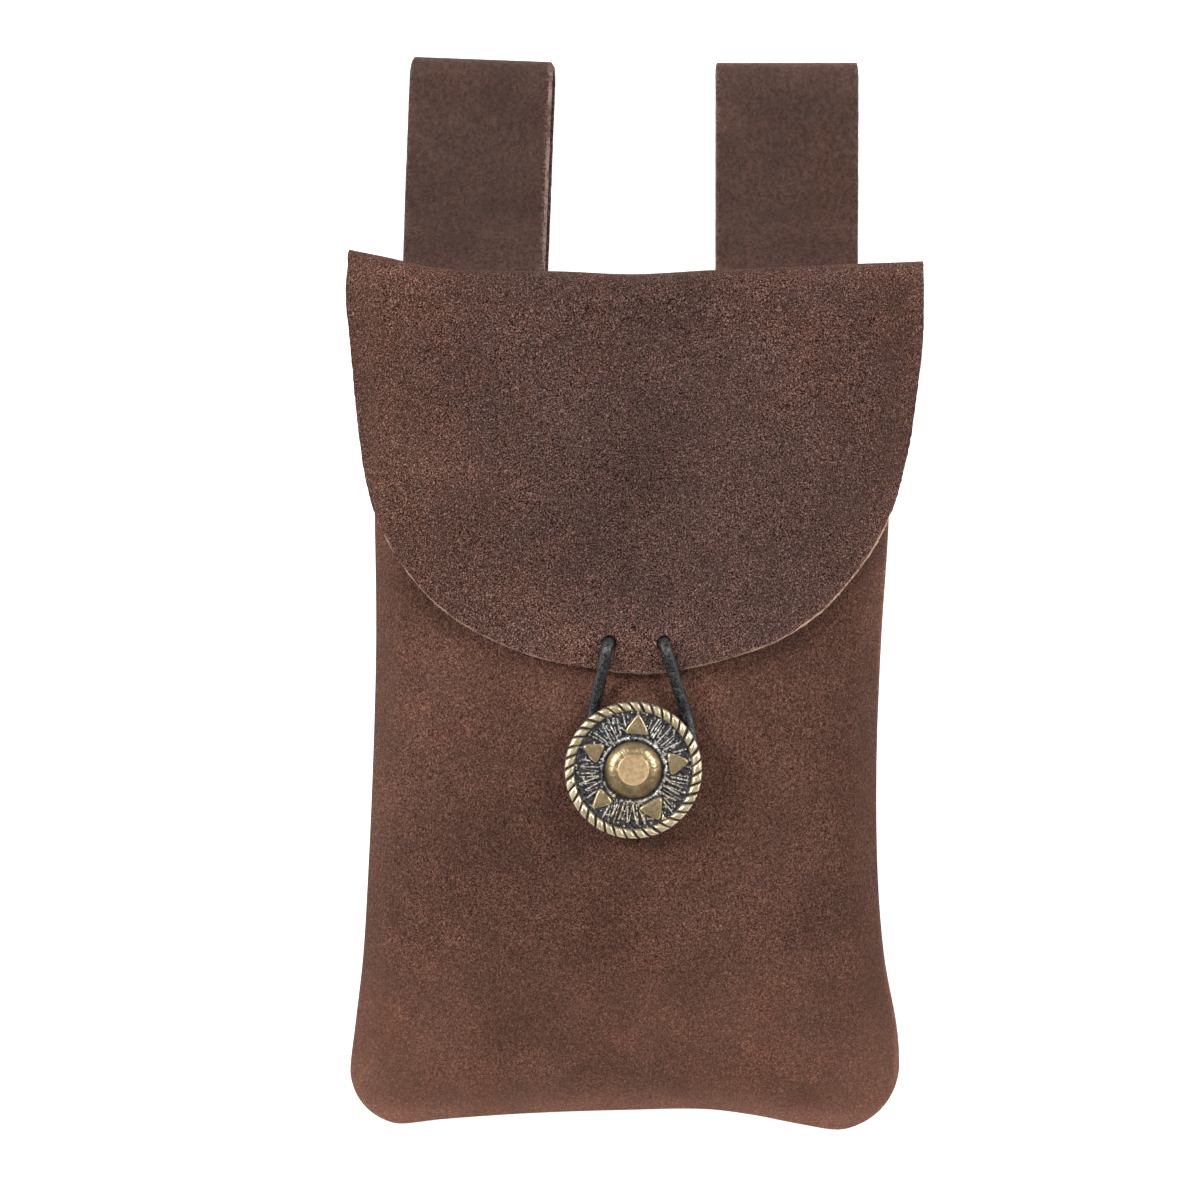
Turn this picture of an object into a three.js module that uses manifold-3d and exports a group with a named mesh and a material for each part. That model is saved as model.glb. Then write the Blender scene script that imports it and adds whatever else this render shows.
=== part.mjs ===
// Medieval belt pouch of suede leather, lying on its back with its flap closed.
// A turned bag of two panels, whose back panel runs on over the top as the flap, two belt loops
// sewn behind it, and a leather cord in the flap that hooks over a cast brass button.
// Millimetres. +X to the pouch's right as seen from the front, +Y towards the belt, +Z out of the
// front. The origin is the middle of the back, on the surface that the pouch lies on.

import * as THREE from "three";
import { mergeVertices } from "three/addons/utils/BufferGeometryUtils.js";
import Module from "manifold-3d";

const wasm = await Module();
wasm.setup();

// Leather
const leather = 1.5; // thickness of the panels and the flap
const strapLeather = 1.8; // thickness of the belt loops
const seat = 0.3; // gap between two pieces that lie on each other

// Bag
const bodyLength = 184; // bottom edge to the fold at the top, down the middle
const bagWidth = 120;
const mouthDrop = 12; // from the fold down to the front panel's free edge
const seamHeight = 8; // side and bottom seams above the surface
const seamAllowance = 6; // turned in behind the seam
const rollRadius = 0.95; // middle of the leather where it rolls over at the seam
const edgeLift = 3; // how far the front springs up just inside the seam
const edgeReach = 4; // over about this distance
const crownHeight = 14; // rise of the filled front from there to its middle
const backCurl = 16; // width of the back's margin that curls up to the seam

// Flap
const flapWidth = 127;
const flapLength = 88.2; // fold to tip
const flapTipAcross = 3; // tip's place to the right of the middle
const flapStandOff = 2.6; // gap between the flap and the front panel
const mouthStandOff = 0.8; // the same gap up at the mouth
const tipPinch = 2; // how far the tip is drawn down to the bag
const flapDroop = 2.2; // sides of the flap below a plain offset of the front
const cornerDroop = 3.2; // top corners of the flap, pinched towards the back
const droopReach = 8; // width of those corners
const flapOpening = 34; // length over which the flap leaves the front, below the mouth
const pinchWidth = 22; // half the width of the drawn-down tip
const pinchLength = 3.6;
const humpHeight = 0.4; // spare height of the flap over the cord's hidden run
const humpWidth = 16;
const humpLength = 12;
const foldRise = 5; // the fold's left corner above its middle
const cornerRadius = 14.8; // of the bag's right-hand bottom corner

// Belt loops
const loopWidth = 31.2;
const loopTuck = 27; // sewn stretch behind the pouch, below the fold
const loopOpening = 6.4; // between the two strands, at the top
const loopRise = 24; // length over which the front strand leaves the back one
const loopReach = 47; // above the fold
const loopInset = 14; // from the flap's side to the loop
const loopShift = 0.9; // of the strand behind, sideways
const loopLeave = 1.5; // below the fold, where the two strands part
const wornCorner = 1.3; // the outer corner at the top is worn round by this
const wornLength = 3;
const padBelow = 22; // the back panel starts to rise over the sewn strands this far below them
const padLength = 14;
// The shares are of the three sizes above of the same names.
const loops = [
  { name: "belt_loop_left", side: -1, inset: 0.914, reach: 1, turn: -2.2, shift: 1 },
  { name: "belt_loop_right", side: 1, inset: 1, reach: 0.983, turn: 0, shift: 0 },
];

// Cord
const cordDiameter = 2.7;
const cordClearance = 0.4; // between the cord and the leather under it
const holeClearance = 0.45; // round the cord in its punched hole
const cordBend = 2.2; // where it turns into a hole
const holeUp = 6.8; // holes above the flap's tip
const holes = { left: -5.3, right: 6.6 };
const cordLoop = { left: -10.2, right: 13.3, below: 8.6 }; // its loop behind the button

// Button
const buttonRadius = 15;
const buttonDown = 17.1; // centre below the middle of the body
const plateThickness = 1.2;
const ropeWidth = 2.3;
const ropeHeight = 2.3;
const ropeStrands = 38;
const ropeGroove = 0.55; // depth between two strands
const ropeLean = 6; // degrees that a groove turns clockwise on its way in
const domeRadius = 6.2;
const domeHeight = 2.3;
const discRadius = 3.5;
const discHeight = 0.35;
const beadRadius = 6.95; // thin ring round the dome
const beadHeight = 0.3;
const beadWidth = 0.3;
const castWall = 0.02; // width of the casting's near-upright walls
const plateChamfer = 0.9; // round its underside
const domeShoulder = 0.35;
const discChamfer = 0.12;
const ribInset = 0.5; // from the ring to the ribs
const ribBite = 0.1; // how far a rib runs into the rope
const rayTip = 12.1;
const rayFoot = 8;
const rayHeight = 0.6;
const rayHalfWidth = 2.9; // of the widest ray
const ribsPerField = 5; // raised lines between two rays
const ribHeight = 0.35;
const ribWidth = 0.42;
const postRadius = 2.7;
const screwRadius = 1.4;
const screwClearance = 0.3;
const screwHeadRadius = 4.5;
const screwHeadHeight = 1.3;
const headClearance = 0.2; // under its head, where the leather is curved

// Grid sizes
const columns = 18; // across the panels
const bagRows = 19; // up the bag
const foldSteps = 6;
const flapRows = 12;
const cordSteps = 72;
const cornerSteps = 3; // of the grid's steps, those in one half of a rounded corner

const halfLength = bodyLength / 2;
const halfBag = bagWidth / 2;
const halfFlap = flapWidth / 2;
const foldY = halfLength;
const mouthY = foldY - mouthDrop;
const tipY = foldY - flapLength;
const holeY = tipY + holeUp;
const buttonY = -buttonDown;
const strapLift = 2 * strapLeather + 2 * seat; // the sewn strands under the back panel
const loopEndY = foldY - loopTuck;
const rollOuter = rollRadius + leather / 2;
const rollStart = Math.PI / 4; // where the roll takes over from the panel
const rollHeight = seat / 2 + leather / 2 + rollRadius * (1 + Math.sin(rollStart));
const cordRadius = cordDiameter / 2;
const holeRadius = cordRadius + holeClearance;

// Side seams, as shares of half the body's length and of half the bag's width.
const sideRows = [
  { up: 0.87, left: 0.965, right: 0.955 },
  { up: 0.41, left: 0.947, right: 0.938 },
  { up: 0.12, left: 0.942, right: 0.91 },
  { up: -0.17, left: 0.953, right: 0.893 },
  { up: -0.45, left: 0.972, right: 0.898 },
  { up: -0.64, left: 0.99, right: 0.922 },
  { up: -0.8, left: 1.018, right: 0.966 },
];
// Centres of the two round corners and the stretch of arc that each has, in degrees.
const corners = {
  left: { across: -0.833, up: -0.905, radius: 0.824, from: 182, to: 262 },
  right: { across: 0.73, up: -0.891, radius: 1, from: 276, to: 364 },
};
// Bottom seam between the corners.
const bottomRows = [
  { across: -0.7, up: -1.026 },
  { across: -0.39, up: -1.012 },
  { across: -0.04, up: -1.004 },
  { across: 0.27, up: -1.002 },
  { across: 0.443, up: -1.016 },
  { across: 0.6, up: -1.036 },
];
// How full the front is on its way up from the bottom seam to the mouth.
const fullRows = [
  { up: 0, crown: 0, lift: 1 },
  { up: 0.06, crown: 0.27, lift: 1 },
  { up: 0.12, crown: 0.47, lift: 1 },
  { up: 0.22, crown: 0.72, lift: 1 },
  { up: 0.35, crown: 0.93, lift: 1 },
  { up: 0.48, crown: 1, lift: 1 },
  { up: 0.62, crown: 0.93, lift: 1 },
  { up: 0.76, crown: 0.68, lift: 0.95 },
  { up: 0.88, crown: 0.36, lift: 0.75 },
  { up: 1, crown: 0.1, lift: 0.4 },
];
// Cut edge of the flap, as shares of its length and of half its width.
const flapRowsTable = [
  { down: 0.06, left: 0.994, right: 1.006 },
  { down: 0.167, left: 0.98, right: 1.003 },
  { down: 0.316, left: 0.959, right: 0.98 },
  { down: 0.416, left: 0.942, right: 0.959 },
  { down: 0.516, left: 0.92, right: 0.925 },
  { down: 0.593, left: 0.891, right: 0.893 },
  { down: 0.677, left: 0.843, right: 0.84 },
  { down: 0.768, left: 0.757, right: 0.75 },
  { down: 0.845, left: 0.651, right: 0.652 },
  { down: 0.891, left: 0.557, right: 0.566 },
  { down: 0.93, left: 0.446, right: 0.466 },
  { down: 0.96, left: 0.33, right: 0.34 },
  { down: 0.985, left: 0.16, right: 0.2 },
];
// The star's five rays: where each points, in degrees from +X, and its foot's half width.
const rays = [
  { turn: 84.6, half: 0.948 },
  { turn: 154.4, half: 0.81 },
  { turn: 223.1, half: 0.776 },
  { turn: 297.5, half: 1 },
  { turn: 369.4, half: 0.897 },
];
const flapCornerRow = 7; // the row where the sides end and the tip's curve begins
const foldSides = { left: 0.987, right: 1.005 }; // ends of the fold, as shares of half its width
// The fold's edge seen from the front, above its middle.
const foldRows = [
  { across: -1, rise: 1 },
  { across: -0.87, rise: 0.66 },
  { across: -0.7, rise: 0.2 },
  { across: -0.5, rise: 0.04 },
  { across: -0.25, rise: 0.02 },
  { across: 0, rise: -0.1 },
  { across: 0.25, rise: 0.06 },
  { across: 0.6, rise: 0.26 },
  { across: 0.87, rise: 0.4 },
  { across: 1, rise: 0.48 },
];

// Small helpers

const lerp = THREE.MathUtils.lerp;
const clamp = THREE.MathUtils.clamp;
const smooth = (x) => THREE.MathUtils.smoothstep(x, 0, 1);
const bell = (x) => Math.exp(-x * x);
const at = (x, y, z) => new THREE.Vector3(x, y, z);

// A smooth function through a table's rows: the column `value` over the column `key`.
function through(rows, key, value) {
  const ordered = [...rows].sort((a, b) => a[key] - b[key]);
  const xs = ordered.map((row) => row[key]);
  const ys = ordered.map((row) => row[value]);
  const last = xs.length - 1;
  const slope = (i) => {
    const a = Math.max(i - 1, 0);
    const b = Math.min(i + 1, last);
    return (ys[b] - ys[a]) / (xs[b] - xs[a]);
  };
  return (x) => {
    const inside = clamp(x, xs[0], xs[last]);
    let i = 0;
    while (i < last - 1 && inside > xs[i + 1]) i += 1;
    const width = xs[i + 1] - xs[i];
    const t = (inside - xs[i]) / width;
    const bend = t * t * (3 - 2 * t);
    return (
      lerp(ys[i], ys[i + 1], bend) +
      width * (t * (1 - t) * (1 - t) * slope(i) - t * t * (1 - t) * slope(i + 1))
    );
  };
}

// The same line again, with a point at each of the shares of its length.
function respaced(points, shares) {
  const along = [0];
  for (let i = 1; i < points.length; i += 1) {
    along.push(along[i - 1] + points[i].distanceTo(points[i - 1]));
  }
  const total = along[along.length - 1];
  const out = [];
  let i = 0;
  for (const wanted of shares) {
    const want = total * wanted;
    while (i < points.length - 2 && along[i + 1] < want) i += 1;
    const share = clamp((want - along[i]) / (along[i + 1] - along[i]), 0, 1);
    out.push(points[i].clone().lerp(points[i + 1], share));
  }
  return out;
}

const even = (count) => Array.from({ length: count + 1 }, (_, k) => k / count);

// Shares from 0 to 1 in `count` steps, of which `near` fall in the first `part` of the length.
function closerAtStart(count, near, part) {
  return Array.from({ length: count + 1 }, (_, k) =>
    k <= near ? (part * k) / near : lerp(part, 1, (k - near) / (count - near)),
  );
}

// The same, closer at both ends.
function closerAtEnds(count, near, part) {
  const half = closerAtStart(count / 2, near, part * 2).map((share) => share / 2);
  return [...half, ...half.slice(0, -1).reverse().map((share) => 1 - share)];
}

// A smooth line through chosen points, cut into stretches at the points listed in `cuts`.
function stretches(points, cuts, spacings) {
  const fine = 24;
  const curve = new THREE.CatmullRomCurve3(points, false, "centripetal");
  const dense = curve.getPoints(fine * (points.length - 1));
  const ends = [0, ...cuts, points.length - 1];
  return spacings.map((shares, k) =>
    respaced(dense.slice(fine * ends[k], fine * ends[k + 1] + 1), shares),
  );
}

// A four-sided patch inside its edges: left and right run up, bottom and top run to the right.
// across and up are the shares at which the grid's lines lie.
function patch({ left, right, bottom, top }, across, up) {
  const end = across.length - 1;
  return up.map((v, j) =>
    across.map((u, i) => {
      const sides = left[j].clone().lerp(right[j], u);
      const ends = bottom[i].clone().lerp(top[i], v);
      const low = bottom[0].clone().lerp(bottom[end], u);
      const high = top[0].clone().lerp(top[end], u);
      return sides.add(ends).sub(low.lerp(high, v));
    }),
  );
}

// A sheet under construction: points on the middle of the leather and four-cornered faces.
class Sheet {
  constructor() {
    this.points = [];
    this.faces = [];
  }
  add(point) {
    this.points.push(point);
    return this.points.length - 1;
  }
  addRow(points) {
    return points.map((point) => this.add(point));
  }
  // Faces between two rows of points; the outer side is on the left of lower to upper.
  join(lower, upper, flip) {
    for (let i = 0; i < lower.length - 1; i += 1) {
      const face = [lower[i], lower[i + 1], upper[i + 1], upper[i]];
      this.faces.push(flip ? face.reverse() : face);
    }
  }
}

// The closed body of leather of that thickness round a sheet.
function thicken(sheet, thickness) {
  const { points, faces } = sheet;
  const normals = points.map(() => at(0, 0, 0));
  const faceNormals = faces.map(([a, b, c, d]) => {
    const one = points[c].clone().sub(points[a]);
    const two = points[d].clone().sub(points[b]);
    return one.cross(two);
  });
  faces.forEach((face, k) => face.forEach((i) => normals[i].add(faceNormals[k])));
  normals.forEach((n) => n.normalize());
  // At a sharp bend the offset is lengthened, so that the wall keeps its thickness.
  const turn = points.map(() => []);
  faces.forEach((face, k) => {
    const n = faceNormals[k].clone().normalize();
    face.forEach((i) => turn[i].push(n.dot(normals[i])));
  });
  const reach = turn.map((dots) => {
    const mean = dots.reduce((a, b) => a + b, 0) / dots.length;
    return thickness / 2 / Math.max(mean, 0.7);
  });
  const outer = points.map((p, i) => p.clone().addScaledVector(normals[i], reach[i]));
  const inner = points.map((p, i) => p.clone().addScaledVector(normals[i], -reach[i]));
  const all = [...outer, ...inner];
  const shift = points.length;
  const triangles = [];
  const quad = (a, b, c, d) => triangles.push(a, b, c, a, c, d);
  const edges = new Map();
  faces.forEach((face) => {
    const [a, b, c, d] = face;
    quad(a, b, c, d);
    quad(d + shift, c + shift, b + shift, a + shift);
    face.forEach((from, k) => {
      const to = face[(k + 1) % 4];
      if (!edges.delete(`${to},${from}`)) edges.set(`${from},${to}`, [from, to]);
    });
  });
  edges.forEach(([from, to]) => quad(to, from, from + shift, to + shift));
  return meshOf(all, triangles);
}

function meshOf(points, triangles) {
  const geometry = new THREE.BufferGeometry();
  geometry.setFromPoints(points);
  geometry.setIndex(triangles);
  return geometry;
}

// Between three.js geometry and a manifold-3d solid

function solidFrom(geometry) {
  const bare = geometry.clone();
  bare.deleteAttribute("normal");
  bare.deleteAttribute("uv");
  const merged = mergeVertices(bare, 1e-4);
  const mesh = new wasm.Mesh({
    numProp: 3,
    vertProperties: new Float32Array(merged.attributes.position.array),
    triVerts: new Uint32Array(merged.index.array),
  });
  return new wasm.Manifold(mesh);
}

function geometryFrom(solid) {
  const mesh = solid.getMesh();
  const geometry = new THREE.BufferGeometry();
  geometry.setAttribute("position", new THREE.BufferAttribute(mesh.vertProperties, 3));
  geometry.setIndex(new THREE.BufferAttribute(mesh.triVerts, 1));
  return geometry;
}

// An upright cylinder between two heights.
function rod(radius, low, high, sides, x = 0, y = 0) {
  const geometry = new THREE.CylinderGeometry(radius, radius, high - low, sides);
  geometry.rotateX(Math.PI / 2);
  geometry.translate(x, y, (low + high) / 2);
  return geometry;
}

// Shape of the bag

const crownAt = through(fullRows, "up", "crown");
const liftAt = through(fullRows, "up", "lift");
const leftAt = through(sideRows, "up", "left");
const rightAt = through(sideRows, "up", "right");

// Middle of the front panel's leather; u runs from -1 to 1 across, v from 0 at the bottom to 1.
function frontHeight(u, v) {
  const fromSide = Math.max(0, 1 - Math.abs(u)) * halfBag;
  const fromBottom = v * (bodyLength - mouthDrop);
  const spring =
    (1 - Math.exp(-fromSide / edgeReach)) * (1 - Math.exp(-fromBottom / edgeReach));
  const dome = 1 - Math.abs(u) ** 2.2;
  return (
    seamHeight + rollHeight + edgeLift * liftAt(v) * spring + crownHeight * crownAt(v) * dome
  );
}

// Middle of the back panel's leather: flat on the surface, curled up to the seams, and lifted
// where the belt loops are sewn behind it.
function backHeight(u, v) {
  const low = leather / 2;
  const fromSide = Math.max(0, 1 - Math.abs(u)) * halfBag;
  const fromBottom = v * (bodyLength - mouthDrop);
  const curl = (d) => Math.max(0, 1 - d / backCurl) ** 3;
  const edge = 1 - (1 - curl(fromSide)) * (1 - curl(fromBottom));
  const y = lerp(-halfLength, mouthY, v);
  const raised = low + strapLift * smooth((y - loopEndY + padBelow) / padLength);
  return lerp(raised, seamHeight - rollHeight, edge);
}

// Where a point seen from the front lies on the bag, for the pieces that rest on it.
function onBag(x, y) {
  const share = y / halfLength;
  const left = -leftAt(share) * halfBag;
  const right = rightAt(share) * halfBag;
  return {
    u: (2 * x - left - right) / (right - left),
    v: clamp((y + halfLength) / (mouthY + halfLength), 0, 1),
  };
}

function bagTop(x, y) {
  const { u, v } = onBag(x, y);
  return frontHeight(u, v) + leather / 2;
}

// Where the grid's lines lie, as shares of the bag's height and width.
const cornerLength = (cornerRadius * (corners.left.radius + corners.right.radius) * Math.PI) / 8;
const upShares = closerAtStart(bagRows, cornerSteps, cornerLength / bodyLength);
const acrossShares = closerAtEnds(columns, cornerSteps, cornerLength / bagWidth);

// The seam round the bag: down the left side, along the bottom and up the right side.
function seamOutline() {
  const flank = (name, sign) =>
    sideRows.map((row) => at(sign * row[name] * halfBag, row.up * halfLength, 0));
  const arc = ({ across, up, radius, from, to }) => {
    const steps = 6;
    return Array.from({ length: steps + 1 }, (_, k) => {
      const angle = THREE.MathUtils.degToRad(lerp(from, to, k / steps));
      return at(
        across * halfBag + radius * cornerRadius * Math.cos(angle),
        up * halfLength + radius * cornerRadius * Math.sin(angle),
        0,
      );
    });
  };
  const left = flank("left", -1);
  const leftCorner = arc(corners.left);
  const bottom = bottomRows.map((row) => at(row.across * halfBag, row.up * halfLength, 0));
  const rightCorner = arc(corners.right);
  const right = flank("right", 1).reverse();
  const points = [...left, ...leftCorner, ...bottom, ...rightCorner, ...right];
  const cuts = [left.length + 3, left.length + leftCorner.length + bottom.length + 3];
  const down = upShares.map((share) => 1 - share).reverse();
  return stretches(points, cuts, [down, acrossShares, upShares]);
}

// Unit vectors that point out of the bag, one for each point of the seam.
function outwards(line) {
  return line.map((_, k) => {
    const before = line[Math.max(k - 1, 0)];
    const after = line[Math.min(k + 1, line.length - 1)];
    const along = after.clone().sub(before).normalize();
    return at(along.y, -along.x, 0);
  });
}

// One panel of the turned bag with its rolled seam and allowance. side is 1 for the front and
// -1 for the back.
function bagPanel(sheet, side, heightAt) {
  const [left, bottom, right] = seamOutline();
  const seam = [...left, ...bottom.slice(1), ...right.slice(1)];
  const out = outwards(seam);
  const inset = rollOuter - rollRadius * Math.cos(rollStart);
  const edge = seam.map((p, k) => p.clone().addScaledVector(out[k], -inset));
  const leftEdge = edge.slice(0, bagRows + 1).reverse();
  const bottomEdge = edge.slice(bagRows, bagRows + columns + 1);
  const rightEdge = edge.slice(bagRows + columns);
  const mouth = respaced([edge[0], edge[edge.length - 1]], acrossShares);
  const edges = { left: leftEdge, right: rightEdge, bottom: bottomEdge, top: mouth };
  const grid = patch(edges, acrossShares, upShares);
  grid.forEach((row, j) =>
    row.forEach((p, i) => {
      p.z = heightAt(2 * acrossShares[i] - 1, upShares[j]);
    }),
  );
  const rows = grid.map((row) => sheet.addRow(row));
  for (let j = 0; j < bagRows; j += 1) sheet.join(rows[j], rows[j + 1], side < 0);
  const boundary = [
    ...rows.map((row) => row[0]).reverse(),
    ...rows[0].slice(1),
    ...rows.slice(1).map((row) => row[columns]),
  ];
  // The roll over the seam, then the allowance lying between the panels.
  const centre = seat / 2 + leather / 2 + rollRadius;
  const turns = [0, -Math.PI / 4, -Math.PI / 2];
  const profile = turns.map((angle) => ({
    out: rollRadius * Math.cos(angle) - rollOuter,
    up: centre + rollRadius * Math.sin(angle),
  }));
  profile.push({ out: -seamAllowance, up: centre - rollRadius });
  let previous = boundary;
  profile.forEach((step) => {
    const next = sheet.addRow(
      seam.map((p, k) => {
        const q = p.clone().addScaledVector(out[k], step.out);
        q.z = seamHeight + side * step.up;
        return q;
      }),
    );
    sheet.join(next, previous, side < 0);
    previous = next;
  });
  return rows;
}

// Shape of the flap

const riseAt = through(foldRows, "across", "rise");

// Gap between the flap and the bag: wider over the cord's hidden run, pinched at the tip.
function flapGap(x, y) {
  const open = smooth((mouthY - y) / flapOpening);
  const needed = cordDiameter + 2 * cordClearance - flapStandOff;
  const middle = (holes.left + holes.right) / 2;
  const hump = bell((x - middle) / humpWidth) * bell((y - holeY) / humpLength);
  const overCord = (needed + humpHeight) * hump;
  const atTip = bell((x - flapTipAcross) / pinchWidth) * bell((y - tipY) / pinchLength);
  const pinch = tipPinch * atTip;
  return lerp(mouthStandOff, flapStandOff, open) + overCord - pinch;
}

// Middle of the flap's leather. Over the bag it follows the front without its edge, and
// outside the seams it droops.
function flapHeight(x, y) {
  const { u, v } = onBag(x, y);
  const across = Math.min(Math.abs(u), 1);
  const past = Math.max(0, Math.abs(u) - 0.95) * halfBag;
  const top = smooth((y - tipY - flapLength / 2) / (flapLength / 2));
  const droop = flapDroop * across ** 4 * (1 - top) + cornerDroop * smooth(past / droopReach);
  return (
    seamHeight + rollHeight + edgeLift * liftAt(v) +
    crownHeight * crownAt(v) * (1 - across ** 2.2) +
    leather + flapGap(x, y) - droop
  );
}

// Top of the flap's leather.
function flapTop(x, y) {
  return flapHeight(x, y) + leather / 2;
}

// Cut edge of the flap from the fold down the left side, round the tip and up to the fold.
function flapOutline(leftTop, rightTop) {
  const side = (name, sign) =>
    flapRowsTable.map((row) => at(sign * row[name] * halfFlap, foldY - row.down * flapLength, 0));
  const left = side("left", -1);
  const right = side("right", 1).reverse();
  const points = [leftTop, ...left, at(flapTipAcross, tipY, 0), ...right, rightTop];
  const cuts = [flapCornerRow + 1, points.length - 2 - flapCornerRow];
  return stretches(points, cuts, [even(flapRows), even(columns), even(flapRows)]);
}

// The back panel goes on over the mouth as the flap, in one piece of leather.
function backAndFlap() {
  const sheet = new Sheet();
  const bagRowsOfPoints = bagPanel(sheet, -1, backHeight);
  let previous = bagRowsOfPoints[bagRows];
  const mouthRow = previous.map((i) => sheet.points[i]);
  // The fold at each column: its radius, the height of its middle and where it begins.
  const foldAt = Array.from({ length: columns + 1 }, (_, i) => {
    const u = lerp(2 * acrossShares[i] - 1, (2 * i) / columns - 1, 0.4);
    const edgeY = foldY + foldRise * riseAt(u) - leather / 2;
    const low = mouthRow[Math.round(columns / 2)].z;
    const high = flapHeight(u * halfFlap, edgeY - rollOuter);
    const radius = (high - low) / 2;
    const side = lerp(foldSides.left, foldSides.right, (u + 1) / 2);
    return { x: u * halfFlap * side, y: edgeY - radius, z: (high + low) / 2, radius };
  });
  const neckSteps = 3;
  for (let k = 1; k <= neckSteps; k += 1) {
    const share = k / neckSteps;
    const row = foldAt.map((fold, i) =>
      at(
        lerp(mouthRow[i].x, fold.x, smooth(share)),
        lerp(mouthRow[i].y, fold.y, share),
        lerp(mouthRow[i].z, fold.z - fold.radius, share),
      ),
    );
    const next = sheet.addRow(row);
    sheet.join(previous, next, true);
    previous = next;
  }
  for (let k = 1; k <= foldSteps; k += 1) {
    const angle = Math.PI * (k / foldSteps - 0.5);
    const row = foldAt.map((fold) =>
      at(fold.x, fold.y + fold.radius * Math.cos(angle), fold.z + fold.radius * Math.sin(angle)),
    );
    const next = sheet.addRow(row);
    sheet.join(previous, next, true);
    previous = next;
  }
  const top = previous.map((i) => at(sheet.points[i].x, sheet.points[i].y, 0));
  const [left, tip, right] = flapOutline(top[0], top[columns]);
  const edges = { left: left.reverse(), right, bottom: tip, top };
  const grid = patch(edges, even(columns), even(flapRows)).reverse();
  grid.slice(1).forEach((row) => {
    row.forEach((p) => {
      p.z = flapHeight(p.x, p.y);
    });
    const next = sheet.addRow(row);
    sheet.join(previous, next, true);
    previous = next;
  });
  let solid = solidFrom(thicken(sheet, leather));
  for (const x of Object.values(holes)) {
    const z = flapHeight(x, holeY);
    const punch = rod(holeRadius, z - 2 * leather, z + 2 * leather, 20, x, holeY);
    solid = solid.subtract(solidFrom(punch));
  }
  return geometryFrom(solid);
}

function frontPanel() {
  const sheet = new Sheet();
  bagPanel(sheet, 1, frontHeight);
  const solid = solidFrom(thicken(sheet, leather));
  const z = bagTop(0, buttonY);
  const boreRadius = screwRadius + screwClearance;
  const cut = rod(boreRadius, z - 2 * leather, z + 2 * leather, 16, 0, buttonY);
  return geometryFrom(solid.subtract(solidFrom(cut)));
}

// Belt loops

// The strap's middle line from its lower end behind, over the top, and down in front.
function strapLine(above) {
  const low = strapLeather / 2;
  const radius = (loopOpening + strapLeather) / 2;
  const topY = foldY + above - strapLeather / 2 - radius;
  const high = low + 2 * radius;
  const pressed = low + strapLeather + seat; // front strand where both are sewn down
  const leaveY = foldY - loopLeave;
  const line = [];
  const backSteps = [0, 0.36, 0.68, 1];
  backSteps.forEach((share) => line.push({ y: lerp(loopEndY, topY, share), z: low, back: 1 }));
  const turnSteps = 8;
  for (let k = 1; k < turnSteps; k += 1) {
    const angle = (Math.PI * k) / turnSteps;
    line.push({
      y: topY + radius * Math.sin(angle),
      z: low + radius * (1 - Math.cos(angle)),
      back: 1 - smooth(k / turnSteps),
    });
  }
  const downSteps = 9;
  for (let k = 0; k <= downSteps; k += 1) {
    const y = lerp(topY, leaveY, k / downSteps);
    const share = smooth((y - leaveY) / loopRise);
    line.push({ y, z: lerp(pressed, high, share), back: 0 });
  }
  line.push({ y: loopEndY, z: pressed, back: 0 });
  return line;
}

function beltLoop({ side, inset, reach, turn, shift }) {
  const sheet = new Sheet();
  const across = side * (halfFlap - inset * loopInset - loopWidth / 2);
  const tilt = THREE.MathUtils.degToRad(turn);
  const steps = 2;
  const above = reach * loopReach;
  const roundY = foldY + above - wornLength;
  let previous = null;
  strapLine(above).forEach(({ y, z, back }) => {
    const worn = wornCorner * smooth((y - roundY) / wornLength) ** 2;
    const row = Array.from({ length: steps + 1 }, (_, i) => {
      const share = i / steps - 0.5;
      const outerSide = Math.sign(share) === side;
      const half = loopWidth / 2 - (outerSide ? worn : 0);
      const x = 2 * share * half + shift * loopShift * back;
      const up = y - foldY;
      return at(
        across + x * Math.cos(tilt) - up * Math.sin(tilt),
        foldY + x * Math.sin(tilt) + up * Math.cos(tilt),
        z,
      );
    });
    const next = sheet.addRow(row);
    if (previous) sheet.join(previous, next, true);
    previous = next;
  });
  return thicken(sheet, strapLeather);
}

// Cord

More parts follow.
